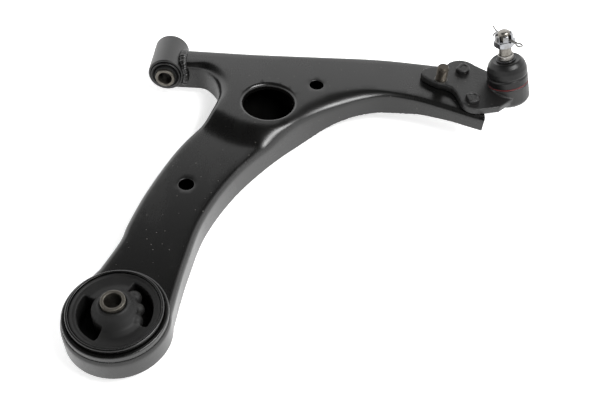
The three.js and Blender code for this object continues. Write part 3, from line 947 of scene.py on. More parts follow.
# ---- the pressed arm ----
@dataclass
class PressedArm:
    """The two stampings and the welds between them."""

    sheet: float = 3.0
    spacing: float = 2.2
    grid: float = 5.0
    bend_rows: int = 8
    wall_rows: int = 7
    far_edge: tuple = ((340, 341), (314, 342), (289, 344), (223, 348.6), (157, 347), (90, 344.8))
    neck_far: tuple = ((40, 344.6), (-14, 344.6))
    neck_near: tuple = ((-14, 314.4), (18, 316), (33, 315.5))
    crotch: tuple = ((42, 309), (49.5, 299), (53, 287), (53.6, 270))
    leg_front: tuple = ((46.2, 243.5), (21.8, 199), (1.8, 144.2), (-8.9, 102), (-12.6, 79.6), (-23.8, 48))
    near_leg: tuple = (
        (46.8, 30), (50.4, 62), (59.0, 111), (79.6, 161.2), (113.2, 210.8), (151.2, 251.2), (188.6, 275.4),
    )
    near_end: tuple = ((222, 287.3), (254, 284.5), (285, 274.5), (317, 262), (340, 253.5))
    eye_radius: float = 45.6
    eye_arc: tuple = (140.0, 368.0)
    eye_opening: float = 44.1
    end_x: float = 329.0
    big_hole: tuple = (106.5, 266.8, 26.2)
    rim_roll: float = 4.0
    rim_depth: float = 7.0
    small_holes: tuple = ((155.1, 297.2, 7.4), (37.4, 150.4, 7.4))
    leg_drop: float = 7.0
    step_end_x: float = 136.0
    plate_end_x: float = 262.0
    tube_trim: float = 20.5
    tube_reach: float = 20.8
    route_steps: int = 6
    skirt: tuple = (
        (-60, -29.5), (44, -31.5), (66, -37), (146, -37), (166, -30),
        (186, -26), (236, -24.5), (270, -18.3), (300, -15.2), (345, -15.2),
    )
    bend_widths: tuple = (
        (100, 7), (112, 12.6), (130, 14), (160, 17), (170, 19), (180, 18.7),
        (190, 16.5), (201, 14), (211, 12), (222, 8), (232, 6),
    )

    def outline(self) -> np.ndarray:
        """The plan, counter-clockwise, run past both open ends."""
        pieces = [
            spline([*self.far_edge, *self.neck_far], self.spacing),
            spline([*self.neck_near, *self.crotch, *self.leg_front], self.spacing),
            arc((0, 0), self.eye_radius, *self.eye_arc, self.spacing),
            spline([*self.near_leg, *self.near_end], self.spacing),
        ]
        points = [np.array(p[:]) for piece in pieces for p in piece]
        kept = [points[0]]
        for point in points[1:]:
            if np.linalg.norm(point - kept[-1]) > 0.6:
                kept.append(point)
        return np.array(kept)

    def top(self, x: float, y: float) -> float:
        """Height of the top face, which drops along a curved step behind the big hole."""
        across = min(x, self.step_end_x)
        upper = 231 + 0.0085 * (across - 104) ** 2
        lower = 204.5 + 0.0069 * (across - 98) ** 2
        return -self.leg_drop * smooth((upper - y) / max(8.0, upper - lower))

    def skirt_at(self, x: float) -> float:
        """Height of the walls' lower edge."""
        xs, zs = zip(*self.skirt)
        return float(np.mean([np.interp(x + step, xs, zs) for step in (-9, -4, 0, 4, 9)]))

    def bend_at(self, x: float, y: float, near: bool) -> Pair:
        """Width and height of the bend between top face and wall.

        Args:
            x: outboard place.
            y: forward place.
            near: whether the point lies on the rear edge of the arm.

        Returns:
            The width in plan and the height.
        """
        kept = self.kept_inset(x, y)
        if near and x > 60:
            xs, widths = zip(*self.bend_widths)
            width = float(np.interp(x, xs, widths, left=6.0, right=6.0))
            return width * kept, 6.0 + 0.22 * (width - 6.0)
        corner = smooth((y - 262) / 22) * smooth((x - 26) / 12) if y < 330 and x < 60 else 0.0
        return (6.0 + 5.5 * corner) * kept, 6.0 + 2.0 * corner

    @staticmethod
    def kept_inset(x: float, y: float) -> float:
        """The share of an inset that is kept where the outline turns sharply, past its open ends."""
        outboard = min(1.0, max(0.06, (337 - x) / 9))
        neck = min(1.0, max(0.06, (x + 12) / 9)) if y > 290 else 1.0
        return min(outboard, neck)

    def upper_shell(self) -> Solid:
        """The upper stamping: top face, bends, walls, rolled hole rim and punched holes."""
        loop = self.outline()
        inward = normals_of(loop)
        for _ in range(3):
            inward = inward + np.roll(inward, 1, 0) + np.roll(inward, -1, 0)
            inward /= np.linalg.norm(inward, axis=1)[:, None]
        near = [self.by_rear(p) for p in loop]
        bends = np.array([self.bend_at(p[0], p[1], n) for p, n in zip(loop, near)])
        kernel = np.ones(9) / 9
        room = self.room_beside_hole(loop, inward)
        bends[:, 0] = np.minimum(bends[:, 0], room)
        for column in (0, 1):
            padded = np.concatenate([bends[-4:, column], bends[:, column], bends[:4, column]])
            bends[:, column] = np.convolve(padded, kernel, "valid")
        bends[:, 0] = np.minimum(bends[:, 0], room)
        verts: list[Vector] = []
        rows: list[list[int]] = []

        def row(points: Sequence[Corner]) -> None:
            """Adds one row of vertices."""
            rows.append(list(range(len(verts), len(verts) + len(points))))
            verts.extend(Vector(p) for p in points)

        for k in range(self.wall_rows):
            share = k / self.wall_rows
            low = [self.skirt_at(p[0]) for p in loop]
            high = [self.top(*p) - bend[1] for p, bend in zip(loop, bends)]
            row([(p[0], p[1], a + (b - a) * share) for p, a, b in zip(loop, low, high)])
        for k in range(self.bend_rows + 1):
            angle = math.pi / 2 * k / self.bend_rows
            rings = loop + inward * (bends[:, :1] * (1 - math.cos(angle)))
            drop = bends[:, 1] * (1 - math.sin(angle))
            row([(q[0], q[1], self.top(*q) - d) for q, d in zip(rings, drop)])
        faces = strips(rows)
        lid = np.array([verts[i][:2] for i in rows[-1]])
        faces += self._face(verts, rows[-1], lid)
        solid = Solid(Form(verts, faces))
        solid.edit(self._face_up)
        solid.trimmed(self._past_end)
        solid.trimmed(lambda p: self.tube_trim - self._from_tube(p))
        solid.trimmed(lambda p: self.eye_opening - math.hypot(p.x, p.y))
        return solid.modified("SOLIDIFY", thickness=self.sheet, offset=-1.0, use_even_offset=True)

    def room_beside_hole(self, loop: np.ndarray, inward: np.ndarray) -> np.ndarray:
        """How far each outline point may move inwards before it meets the big hole's rolled rim."""
        x, y, radius = self.big_hole
        reach = radius + self.rim_roll + 0.8
        to_hole = np.array([x, y]) - loop
        ahead = (to_hole * inward).sum(1)
        aside = (to_hole**2).sum(1) - ahead**2
        meets = (aside < reach**2) & (ahead > 0)
        return np.where(meets, ahead - np.sqrt(np.maximum(0.0, reach**2 - aside)), 1000.0)

    def by_rear(self, point: np.ndarray) -> bool:
        """Whether a point of the outline belongs to the arm's rear edge."""
        x, y = point
        return bool(y < 300 and (x > 43 or (x > 20 and y < 60)) and not self.by_front(point))

    def by_front(self, point: np.ndarray) -> bool:
        """Whether a point of the outline belongs to the leg's front edge or the crotch."""
        limit = np.interp(point[1], (48, 143, 197, 242, 262, 300), (0, 20, 42, 62, 66, 60))
        return bool(point[0] < limit)

    def _face(self, verts: list, ring: list[int], lid: np.ndarray) -> list[tuple[int, ...]]:
        """Fills the top face inside the last ring of the bend, round the holes.

        Args:
            verts: all vertices, which grow.
            ring: the bend's last row.
            lid: the row's plan.

        Returns:
            The new faces.
        """
        holes = [(*self.big_hole, self.rim_roll, self.rim_depth, 96)]
        holes += [(*hole, 0.9, 1.2, 40) for hole in self.small_holes]
        points = [tuple(p) for p in lid]
        ids = list(ring)
        edges = [(i, (i + 1) % len(ring)) for i in range(len(ring))]
        faces: list[tuple[int, ...]] = []
        circles = []
        for x, y, radius, roll, depth, steps in holes:
            rows = []
            angles = [2 * math.pi * k / steps for k in range(steps)]
            for j in range(7):
                turn = math.pi / 2 * min(j, 5) / 5
                reach = radius + roll * (1 - math.sin(turn))
                fall = roll * (1 - math.cos(turn)) if j < 6 else depth
                rows.append(list(range(len(verts), len(verts) + steps)))
                for a in angles:
                    px, py = x + reach * math.cos(a), y + reach * math.sin(a)
                    verts.append(Vector((px, py, self.top(px, py) - fall)))
            faces += [tuple(reversed(f)) for f in strips(rows)]
            first = len(points)
            points += [tuple(verts[i][:2]) for i in rows[0]]
            ids += rows[0]
            edges += [(first + i, first + (i + 1) % steps) for i in range(steps)]
            circles.append((x, y, radius + roll))
        fill = self._grid(lid, circles)
        ids += list(range(len(verts), len(verts) + len(fill)))
        points += [tuple(p) for p in fill]
        verts.extend(Vector((x, y, self.top(x, y))) for x, y in fill)
        return faces + [tuple(ids[i] for i in face) for face in self._filled(points, edges, lid, circles)]

    @staticmethod
    def _filled(points: Sequence, edges: list, lid: np.ndarray, circles: Sequence[Corner]) -> list:
        """Triangles between points in a plane.

        Args:
            points: the points.
            edges: the lines that the triangles keep to.
            lid: the loop that they stay inside.
            circles: centre and radius of each hole that they leave open.

        Returns:
            Three point numbers for each triangle.
        """
        plan = [Vector(p) for p in points]
        plane, _, triangles, origins, _, _ = delaunay_2d_cdt(plan, edges, [], 0, 1e-5)
        centres = np.array([np.mean([plane[i][:] for i in t], 0) for t in triangles])
        kept = inside(centres, lid)
        for x, y, radius in circles:
            kept &= np.hypot(centres[:, 0] - x, centres[:, 1] - y) > radius * 0.995
        crossed = sum(1 for source in origins if not source)
        if crossed:
            LOG.warning("the face's outline crosses itself at %d points", crossed)
        faces = [tuple(origins[i][0] for i in t if origins[i]) for t, keep in zip(triangles, kept) if keep]
        return [face for face in faces if len(face) > 2]

    def _grid(self, lid: np.ndarray, circles: Sequence[Corner]) -> np.ndarray:
        """Grid points of the top face that stay clear of its edge and of the holes."""
        low, high = lid.min(0), lid.max(0)
        step = self.grid
        xs, ys = np.arange(low[0], high[0], step), np.arange(low[1], high[1], step * 0.866)
        cells = [(x + (j % 2) * step / 2, y) for j, y in enumerate(ys) for x in xs]
        grid = np.array(cells)
        grid = grid[inside(grid, lid)]
        gaps = np.array([np.min(np.hypot(lid[:, 0] - p[0], lid[:, 1] - p[1])) for p in grid])
        clear = gaps > step * 0.5
        for x, y, radius in circles:
            clear &= np.hypot(grid[:, 0] - x, grid[:, 1] - y) > radius + step * 0.4
        return grid[clear]

    @staticmethod
    def _face_up(bm: bmesh.types.BMesh) -> None:
        """Turns the open skin so that its top faces up."""
        bm.faces.ensure_lookup_table()
        highest = max(bm.faces, key=lambda f: abs(f.normal.z) * f.calc_area())
        if highest.normal.z < 0:
            bmesh.ops.reverse_faces(bm, faces=bm.faces)

    def _past_end(self, point: Vector) -> float:
        """How far a point lies past the open outboard end, whose corners are round."""
        near = min(1.0, max(0.0, (262 - point.y) / 7))
        far = min(1.0, max(0.0, (point.y - 330) / 11))
        end = self.end_x - 5 * (1 - math.sqrt(1 - near**2)) - 11 * (1 - math.sqrt(1 - far**2))
        return point.x - end

    @staticmethod
    def _from_tube(point: Vector) -> float:
        """Distance from the front tube's axis, for a point in the arm's millimetres."""
        if point.y < 290:
            return 1000.0
        local = TUBE_AT.matrix().inverted() @ (ARM_AT.matrix() @ point)
        return math.hypot(local.x, local.y)

    def lower_shell(self) -> Solid:
        """The closing plate, which follows the walls' lower edge."""
        loop = self.outline()
        kept = np.array([self.kept_inset(*p) for p in loop])
        lid = loop + normals_of(loop) * (self.sheet + 0.3) * kept[:, None]
        verts = [Vector((x, y, self.skirt_at(x) + 1)) for x, y in lid]
        ring = list(range(len(verts)))
        fill = self._grid(lid, [])
        points = [*map(tuple, lid), *map(tuple, fill)]
        verts += [Vector((x, y, self.skirt_at(x) + 1)) for x, y in fill]
        edges = [(i, (i + 1) % len(ring)) for i in ring]
        solid = Solid(Form(verts, self._filled(points, edges, lid, [])))
        solid.edit(self._face_up)
        solid.trimmed(lambda p: p.x - self.plate_end_x)
        solid.trimmed(lambda p: self.tube_trim + 1.5 - self._from_tube(p))
        solid.trimmed(lambda p: self.eye_opening - math.hypot(p.x, p.y))
        return solid.modified("SOLIDIFY", thickness=self.sheet, offset=1.0, use_even_offset=True)

    def seam_path(self) -> list[Vector]:
        """The line where the plate meets the rear wall, along its welded stretch."""
        loop = self.outline()
        line = loop + normals_of(loop) * (self.sheet * 0.7)
        return [
            Vector((x, y, self.skirt_at(x) - 0.6))
            for x, y in line
            if 150 < x < self.plate_end_x and 240 < y < 300
        ]

    def tube_path(self) -> list[Vector]:
        """The line where the neck meets the front tube: up one wall, over the top and down the other."""
        route = [(-21, 313.6), (-12, 313.4), (-3.5, 315.2), (-0.5, 320), (0.2, 329), (-0.6, 338)]
        route += [(-3.5, 342.3), (-12, 344), (-21, 343.8)]
        height, centre = box_middle("front_bush_tube").z, box_middle("front_bush_tube").x
        axis_z = (height - ARM_AT.origin.z) / MM
        axis_x = (centre - ARM_AT.origin.x) / MM
        path = []
        for start, end in zip(route, route[1:]):
            for k in range(self.route_steps):
                z = start[0] + (end[0] - start[0]) * k / self.route_steps
                y = start[1] + (end[1] - start[1]) * k / self.route_steps
                path.append(Vector((axis_x + math.sqrt(self.tube_reach**2 - (z - axis_z) ** 2), y, z)))
        return path

    def build(self) -> None:
        """Builds and dresses the stampings and their welds."""
        self.upper_shell().placed("upper_stamping", ARM_AT, PAINT, Body.ARM, ["upper_shell"])
        self.lower_shell().placed("closing_plate", ARM_AT, PAINT, Body.ARM, ["lower_shell"])
        seam = BeadTree("seam_bead", 1.5, 1.7).laid(self.seam_path(), WELD_PAINT)
        seam.placed("seam_bead", ARM_AT, WELD_PAINT, Body.ARM, ["edge_seam_weld"])
        tube = BeadTree("tube_bead", 1.7, 4.1, wobble=0.2, seed=11).laid(self.tube_path(), WELD_PAINT)
        tube.placed("tube_bead", ARM_AT, WELD_PAINT, Body.ARM, ["front_tube_weld"])


# ---- bushes ----
def ring_profile(inner: float, outer: float, low: float, high: float, edge: float = 0.5) -> list[Pair]:
    """A ring's section with rounded edges."""
    corners = [(inner, low, edge), (outer, low, edge), (outer, high, edge), (inner, high, edge)]
    return rounded(corners, 3)


@dataclass
class FrontBush:
    """The front bush: a tube across the arm's neck, with a rubber-bonded sleeve for its bolt."""

    outer: float = 18.6
    bore: float = 15.9
    half: float = 24.0
    sleeve: float = 10.25
    sleeve_bore: float = 7.2
    shell_wall: float = 1.6
    overhang: float = 7.0

    def build(self) -> None:
        """Builds and dresses the tube, both sleeves and the rubber."""
        tube = Solid(revolved(ring_profile(self.bore, self.outer, -self.half, self.half, 0.9), 128))
        tube.placed("front_bush_housing", TUBE_AT, TUBE_PAINT, Body.ARM, ["front_bush_tube"])
        shell_r = self.bore - 0.3
        lip = self.half + 1.6
        shell_bore = shell_r - self.shell_wall
        wall = rounded(
            [(shell_bore, -lip, 0.5), (shell_r, -lip, 0.7), (shell_r, lip, 0.7), (shell_bore, lip, 0.5)], 3
        )
        can = Solid(revolved(wall, 96))
        can.placed("front_bush_can", TUBE_AT, TUBE_PAINT, Body.ARM, ["front_bush_outer_sleeve"])
        self.rubber(shell_bore).placed(
            "front_bush_cushion", TUBE_AT, FRONT_RUBBER, Body.ARM, ["front_bush_rubber"]
        )
        length = self.half + self.overhang
        core = Solid(revolved(ring_profile(self.sleeve_bore, self.sleeve, -length, length, 0.8), 96))
        core.placed("front_bush_core", TUBE_AT, FRONT_STEEL, Body.FRONT_SLEEVE, ["front_bush_inner_sleeve"])

    def rubber(self, reach: float) -> Solid:
        """The bonded rubber, hollowed between its two lips at each end."""
        core = self.sleeve + 0.25
        half = self.half
        side = [
            (reach - 0.1, half + 0.4, 0.3), (reach - 1.1, half + 0.7, 0.4), (reach - 2.0, half - 3.2, 1.0),
            (core + 1.6, half - 3.4, 0.9), (core + 1.1, half + 3.6, 0.6), (core, half + 4.2, 0.2),
        ]
        mirrored = [(r, -z, f) for r, z, f in reversed(side)]
        return Solid(revolved(rounded([*mirrored, *side], 4), 96))


@dataclass
class RearBush:
    """The rear bush: an upright rubber mount in a pressed can, with two kidney-shaped pockets."""

    can: float = 40.0
    wall: float = 2.4
    can_top: float = 1.5
    can_bottom: float = -33.0
    collar: float = 43.8
    collar_inner: float = 40.3
    collar_top: float = -3.0
    collar_bottom: float = -31.0
    sleeve: float = 10.25
    sleeve_bore: float = 7.2
    sleeve_bottom: float = -42.0
    void_inner: float = 19.0
    void_outer: float = 31.0
    void_half: float = 0.85
    void_turn: float = 0.38
    skin_top: float = -24.0
    hub_reach: float = 18.3
    ring_reach: float = 31.7
    web_steps: int = 48
    webs: tuple = (("front", 22.5), ("rear", 202.5))
    bumps: tuple = ((-22, 19.0, 6.5, -4.5), (50, 19.5, 6.8, -4), (12, 18.5, 5.5, -3.5))

    def build(self) -> None:
        """Builds and dresses the collar, the can, the core and the four parts of the rubber."""
        collar = rounded(
            [
                (self.collar_inner, self.collar_bottom, 0.6), (self.collar, self.collar_bottom, 0.6),
                (self.collar, self.collar_top, 1.5), (self.collar_inner, self.collar_top, 1.1),
            ],
            5,
        )
        Solid(revolved(collar, 144)).placed("rear_eye_band", ARM_AT, PAINT, Body.ARM, ["rear_eye_collar"])
        inner = self.can - self.wall
        wall = rounded(
            [
                (inner, self.can_bottom, 0.5), (self.can, self.can_bottom, 0.8),
                (self.can, self.can_top, 1.1), (inner, self.can_top, 0.8),
            ],
            5,
        )
        can = Solid(revolved(wall, 144))
        can.placed("rear_bush_can", ARM_AT, PAINT, Body.ARM, ["rear_bush_outer_sleeve"])
        core = rounded(
            [
                (self.sleeve_bore, self.sleeve_bottom, 0.7), (self.sleeve, self.sleeve_bottom, 0.8),
                (self.sleeve, SLEEVE_TOP, 0.8), (self.sleeve_bore, SLEEVE_TOP, 0.9),
            ],
            4,
        )
        core_form = revolved(core, 96)
        Solid(core_form).placed(
            "rear_bush_core", ARM_AT, REAR_STEEL, Body.REAR_SLEEVE, ["rear_bush_inner_sleeve"]
        )
        self.rubber()

    def mass(self) -> Solid:
        """The whole rubber, as moulded, before it is divided."""
        outer = self.can - self.wall - 0.05
        core = self.sleeve + 0.1
        profile = rounded(
            [
                (core, self.sleeve_bottom + 4.5, 0.3), (core + 3.2, self.sleeve_bottom + 5, 1.5),
                (19.5, -34, 3), (outer - 5, -29, 3), (outer, -30.5, 0.6),
                (outer, 0.6, 0.5), (outer - 1.6, 0.5, 0.6), (outer - 2.8, -0.9, 0.8),
                (outer - 4.2, -0.7, 0.8), (26.5, -1.8, 3), (21, 0.2, 4), (16, 5.4, 5),
                (core + 2.6, 10.0, 1.6), (core + 1.0, 10.6, 0.6), (core, 10.3, 0.2),
            ],
            5,
        )
        body = Solid(revolved(profile, 96))
        for turn in (self.void_turn, self.void_turn + math.pi):
            first, last = (math.degrees(turn + side * self.void_half) for side in (-1, 1))
            far = arc((0, 0), self.void_outer, first, last, 2)
            near = arc((0, 0), self.void_inner, last, first, 2)
            pocket = [tuple(p) for p in [*far, *near]]
            body.cut(Solid(prism(pocket, self.skin_top, 60)), Solid(prism(pocket, -60, self.skin_top - 3)))
        for angle, radius, size, height in self.bumps:
            a = math.radians(angle)
            ball = revolved([(0, -1), *self.half_circle(), (0, 1)], 24)
            spot = Matrix.Translation((radius * math.cos(a), radius * math.sin(a), height))
            body.add(Solid(ball.moved(spot @ Matrix.Scale(size, 4))))
        return body.melted(0.75, 7)

    @staticmethod
    def half_circle(steps: int = 10) -> list[Pair]:
        """A unit half circle's points between its poles."""
        angles = [-math.pi / 2 + math.pi * k / steps for k in range(1, steps)]
        return [(math.cos(a), math.sin(a)) for a in angles]

    def rubber(self) -> None:
        """Divides the rubber into a hub, a rim and the two webs between them."""
        whole = self.mass()
        tall = (-80.0, 80.0)
        bore = self.sleeve + 0.05
        whole.cut(Solid(revolved([(0, tall[0]), (bore, tall[0]), (bore, tall[1]), (0, tall[1])], 96)))
        hub_zone = [(0, tall[0]), (self.hub_reach, tall[0]), (self.hub_reach, tall[1]), (0, tall[1])]
        rim_zone = [(self.ring_reach, tall[0]), (60, tall[0]), (60, tall[1]), (self.ring_reach, tall[1])]
        hub = whole.copy().keep(Solid(revolved(hub_zone, 96)))
        hub.placed("rear_rubber_hub", ARM_AT, BUSH_RUBBER, Body.REAR_SLEEVE, ["rear_bush_rubber"], 50)
        rim = whole.copy().keep(Solid(revolved(rim_zone, 96)))
        rim.placed("rear_rubber_rim", ARM_AT, BUSH_RUBBER, Body.ARM, sharp=50)
        for name, first in self.webs:
            angles = [math.radians(first + 180 * k / self.web_steps) for k in range(self.web_steps + 1)]
            sector = [(self.ring_reach * math.cos(a), self.ring_reach * math.sin(a)) for a in angles]
            angles.reverse()
            sector += [(self.hub_reach * math.cos(a), self.hub_reach * math.sin(a)) for a in angles]
            web = whole.copy().keep(Solid(prism(sector, *tall)))
            piece = web.placed(f"rear_rubber_web_{name}", ARM_AT, BUSH_RUBBER, None, sharp=50)
            middle = angles[self.web_steps // 2]
            way = Vector((math.cos(middle), math.sin(middle), 0))
            start = ARM_AT.point(*(way * self.ring_reach))
            end = ARM_AT.point(*(way * self.hub_reach))
            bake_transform(piece)
        whole.discard()


# ---- ball joint ----
def hexagon_shape(across: float, chamfer_low: float, chamfer_high: float, reach: float) -> Shape:
    """The radius of a hexagon whose corners are chamfered at both ends.

    Args:
        across: width across flats.
        chamfer_low: height of the lower face.
        chamfer_high: height of the upper face.
        reach: radius where the chamfer meets the faces.

    Returns:
        The radius from angle, profile radius and height. Radii inside the reach stay as they are.
    """

    def radius(angle: float, base: float, height: float) -> float:
        """The radius at one point."""
        if base < reach - 1e-6:
            return base
        flat = (angle % (math.pi / 3)) - math.pi / 6
        side = across / 2 / math.cos(flat)
        cone = reach + min(height - chamfer_low, chamfer_high - height) / math.tan(math.radians(28))
        return min(side, cone)

    return radius


def thread_shape(size: float, pitch: float, low: float, high: float) -> Shape:
    """The radius of a screw thread between two heights, on any profile point of the full size."""

    def radius(angle: float, base: float, height: float) -> float:
        """The radius at one point."""
        if abs(base - size) > 1e-6 or not low < height < high:
            return base
        phase = (height / pitch - angle / (2 * math.pi)) % 1.0
        fade = min(1.0, (high - height) / pitch, (height - low) / pitch)
        return base - 0.6 * pitch * fade * smooth(1 - abs(2 * phase - 1) * 1.15)

    return radius


def rows_between(radius: float, low: float, high: float, step: float) -> list[Pair]:
    """Profile points up a straight side."""
    count = max(2, round((high - low) / step))
    return [(radius, low + (high - low) * k / count) for k in range(count + 1)]


def hex_nut(across: float, low: float, high: float, bore: float) -> Form:
    """A hexagon nut between two heights."""
    reach = across / 2 - 0.35
    side = rows_between(across, low, high, 0.3)
    profile = [(bore, low + 0.8), (bore + 0.8, low), (reach - 0.2, low), *side, (reach - 0.2, high)]
    profile += [(bore + 0.8, high), (bore, high - 0.8)]
    return revolved(profile, 96, hexagon_shape(across, low, high, reach))


@dataclass
class BallJoint:
    """The bolted ball joint: forged housing and flange, boot, stud, castle nut and split pin."""

    housing: float = 20.8
    bottom: float = -22.0
    neck: float = 17.6
    neck_top: float = 7.0
    bore: float = 14.8
    lip: float = 13.2
    ball: float = 12.5
    stud_top: float = 58.5
    thread: float = 6.0
    nut_across: float = 19.0
    nut_bottom: float = 42.3
    nut_crown: float = 49.0
    nut_top: float = 55.5
    slot: float = 3.8
    pin_height: float = 52.4
    pin_turn: float = -0.95
    pin_droop: float = 0.17
    flange_top: float = 7.8
    under_arm: float = -3.3
    stud_nut_height: float = 9.0
    bolt_at: Pair = (285.8, 309.2)
    front_at: Pair = (309.6, 325.4)
    rear_at: Pair = (315.8, 278.8)

    def build(self) -> None:
        """Builds and dresses every piece of the joint and its fasteners."""
        self.forging().placed("ball_joint_forging", JOINT_AT, FORGING, Body.ARM, ["ball_joint_housing"], 55)
        cap = rounded(
            [
                (0, self.bottom + 0.3, 0), (self.bore - 5, self.bottom + 0.3, 1.2),
                (self.bore - 4, self.bottom + 1.5, 1.2), (self.bore + 1.2, self.bottom + 1.5, 0.4),
                (self.bore + 1.2, self.bottom + 3.2, 0.4), (0, self.bottom + 3.2, 0),
            ],
            4,
        )
        Solid(revolved(cap, 96)).placed("joint_cap", JOINT_AT, FORGING, Body.ARM, ["housing_cap"])
        self.boot()
        self.stud()
        self.nut()
        self.pin()
        self.flange_hardware()

    def flange_outline(self) -> list[Pair]:
        """The flange's plan in the arm's drawing."""
        bx, by = self.bolt_at
        fx, fy = self.front_at
        rx, ry = self.rear_at
        points: list = [(bx - 17.5, by + 15.5), (bx - 20.5, by + 9.5), (bx - 18.5, by + 3.5)]
        points += [(bx - 11, by - 3), (bx - 3, by - 7), (bx + 5, by - 9), (bx + 11, by - 12.5)]
        points += [(bx + 15, by - 19.5)]
        points += [tuple(p) for p in arc((rx + 4.5, ry + 2.2), 16.4, 184, 279, 3)]
        points += [(344, 270.5), (358, 283.5), (362, 322), (340, 325.5)]
        points += [tuple(p) for p in arc((fx, fy), 18, 40, 148, 3)]
        return [*points, (bx - 1, by + 21.5), (bx - 10.5, by + 19.5)]

    def forging(self) -> Solid:
        """The cup and its flange, as one rounded forging with a turned socket."""
        to_joint = JOINT_AT.matrix().inverted() @ ARM_AT.matrix()
        cup = rounded(
            [
                (0, self.bottom, 0), (self.housing - 3, self.bottom, 1.5), (self.housing, self.bottom + 4, 2),
                (self.housing, -0.4, 0.5), (0, -0.4, 0),
            ],
            4,
        )
        body = Solid(revolved(cup, 96))
        plate = prism(self.flange_outline(), 0.2, self.flange_top)
        body.add(Solid(plate.moved(to_joint)))
        body.melted(0.7, 8)
        neck = rounded(
            [(0, -6, 0), (self.neck, -6, 0), (self.neck, self.neck_top, 0.6), (0, self.neck_top, 0)], 3
        )
        edge = self.housing + 0.7
        room = [(self.neck + 0.02, -0.35), (edge, -0.35), (edge, 40), (self.neck + 0.02, 40)]
        over = [(0, 7.05), (self.neck + 0.5, 7.05), (self.neck + 0.5, 40), (0, 40)]
        socket = [
            (0, self.bottom - 5), (self.bore + 1.6, self.bottom - 5), (self.bore + 1.6, self.bottom + 3.6),
            (self.bore, self.bottom + 3.6), (self.bore, self.neck_top - 2), (self.lip, self.neck_top - 2),
            (self.lip + 0.6, self.neck_top + 5), (0, self.neck_top + 5),
        ]
        body.cut(Solid(revolved(room, 96)), Solid(revolved(over, 96)))
        body.add(Solid(revolved(neck, 96)))
        return body.cut(Solid(revolved(socket, 96)))

    def boot(self) -> None:
        """The dust boot, its base ring, its spring ring and the collar above it."""
        outside = [
            (self.housing, 1.3, 0.5), (20.7, 8.0, 0.6), (19.8, 9.6, 0.9), (20.6, 11.6, 1.6), (20.3, 17, 5),
            (18.5, 22.2, 5), (15.9, 25.6, 2.0), (14.3, 26.7, 0.7), (12.2, 26.4, 1.0), (9.3, 26.1, 0.6),
            (8.9, 27.6, 0.4),
        ]
        inside_wall = [
            (7.2, 27.6, 0.4), (7.2, 24.3, 0.6), (12.8, 24.2, 1.0), (16.3, 20.8, 4), (18.2, 16.5, 3),
            (18.5, 11, 1), (self.neck + 0.1, 8, 0.3), (self.neck + 0.1, 1.3, 0.2),
        ]
        loops = self.finer(rounded([*outside, *inside_wall], 4), 0.9)
        skin = Solid(revolved(loops, 112))
        piece = skin.placed("joint_boot", JOINT_AT, BOOT_RUBBER, None, ["dust_boot"], 60)
        start, end = JOINT_AT.point(0, 0, 9.0), JOINT_AT.point(0, 0, 25.5)
        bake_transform(piece)
        base = Solid(revolved(ring_profile(self.neck + 0.2, 20.95, 0.1, 1.0, 0.35), 112))
        base.placed("boot_seat_ring", JOINT_AT, RED_RING, Body.ARM, ["boot_base_ring"])
        spring = self.spring()
        spring.placed("boot_clip_ring", JOINT_AT, SPRING_STEEL, Body.STUD_SWING, ["boot_top_ring"])
        collar = Solid(revolved(ring_profile(7.0, 7.9, 27.7, 32.6, 0.35), 80))
        for turn in (-2.2, 0.94):
            slot = box_form((4, 4.2, 1.7), (8.0, 0, 30.9))
            collar.cut(Solid(slot.moved(Matrix.Rotation(turn, 4, "Z"))))
        collar.placed("stud_spacer", JOINT_AT, SPACER_STEEL, Body.STUD_SWING, ["stud_collar"])

    @staticmethod
    def finer(points: Sequence[Pair], step: float) -> list[Pair]:
        """Adds points to a closed outline until no side is longer than the step."""
        made = []
        for start, end in zip(points, [*points[1:], points[0]]):
            count = max(1, math.ceil(math.dist(start, end) / step))
            made += [
                (start[0] + (end[0] - start[0]) * k / count, start[1] + (end[1] - start[1]) * k / count)
                for k in range(count)
            ]
        return made

    @staticmethod
    def spring() -> Solid:
        """A wire ring of one and a half turns round the boot's neck."""
        radius, wire, turns = 9.45, 0.38, 1.9
        steps = 110
        path = []
        for k in range(steps + 1):
            angle = 2 * math.pi * turns * k / steps
            path.append(Vector((radius * math.cos(angle), radius * math.sin(angle), 26.75 + 0.8 * k / steps)))
        return Solid(wire_form(path, wire, 10))

    def stud(self) -> None:
        """The ball stud: ball, neck, taper and thread, with a cross hole for the pin."""
        neck = 6.2
        top = math.acos(neck / self.ball)
        steps = 22
        arc_points = [-math.pi / 2 + (math.pi / 2 + top) * k / steps for k in range(1, steps + 1)]
        profile = [(0, -BALL_DEPTH - self.ball)]
        profile += [(self.ball * math.cos(a), -BALL_DEPTH + self.ball * math.sin(a)) for a in arc_points]
        profile += [(neck, 13), (6.4, 17), (6.8, 20.5), (6.8, 26.2), (6.65, 30), (6.25, 41.2), (6.0, 41.8)]
        profile += rows_between(self.thread, 42.2, self.stud_top - 1.7, 0.2)
        profile += [(5.5, self.stud_top - 0.9), (4.7, self.stud_top - 0.25), (4.2, self.stud_top)]
        profile.append((0, self.stud_top))
        shape = thread_shape(self.thread, 1.25, 42.0, self.stud_top - 1.6)
        body = Solid(revolved(profile, 72, shape))
        hole = revolved([(0, -12), (1.9, -12), (1.9, 12), (0, 12)], 24)
        body.cut(Solid(hole.moved(self.pin_frame() @ Matrix.Rotation(math.pi / 2, 4, "Y"))))
        body.placed("joint_stud", JOINT_AT, STUD_STEEL, Body.STUD, ["ball_stud"])

    def pin_frame(self) -> Matrix:
        """The pin's axes on the joint: X along the pin, towards its eye."""
        turn = Matrix.Rotation(self.pin_turn, 4, "Z") @ Matrix.Rotation(self.pin_droop, 4, "Y")
        return Matrix.Translation((0, 0, self.pin_height)) @ turn

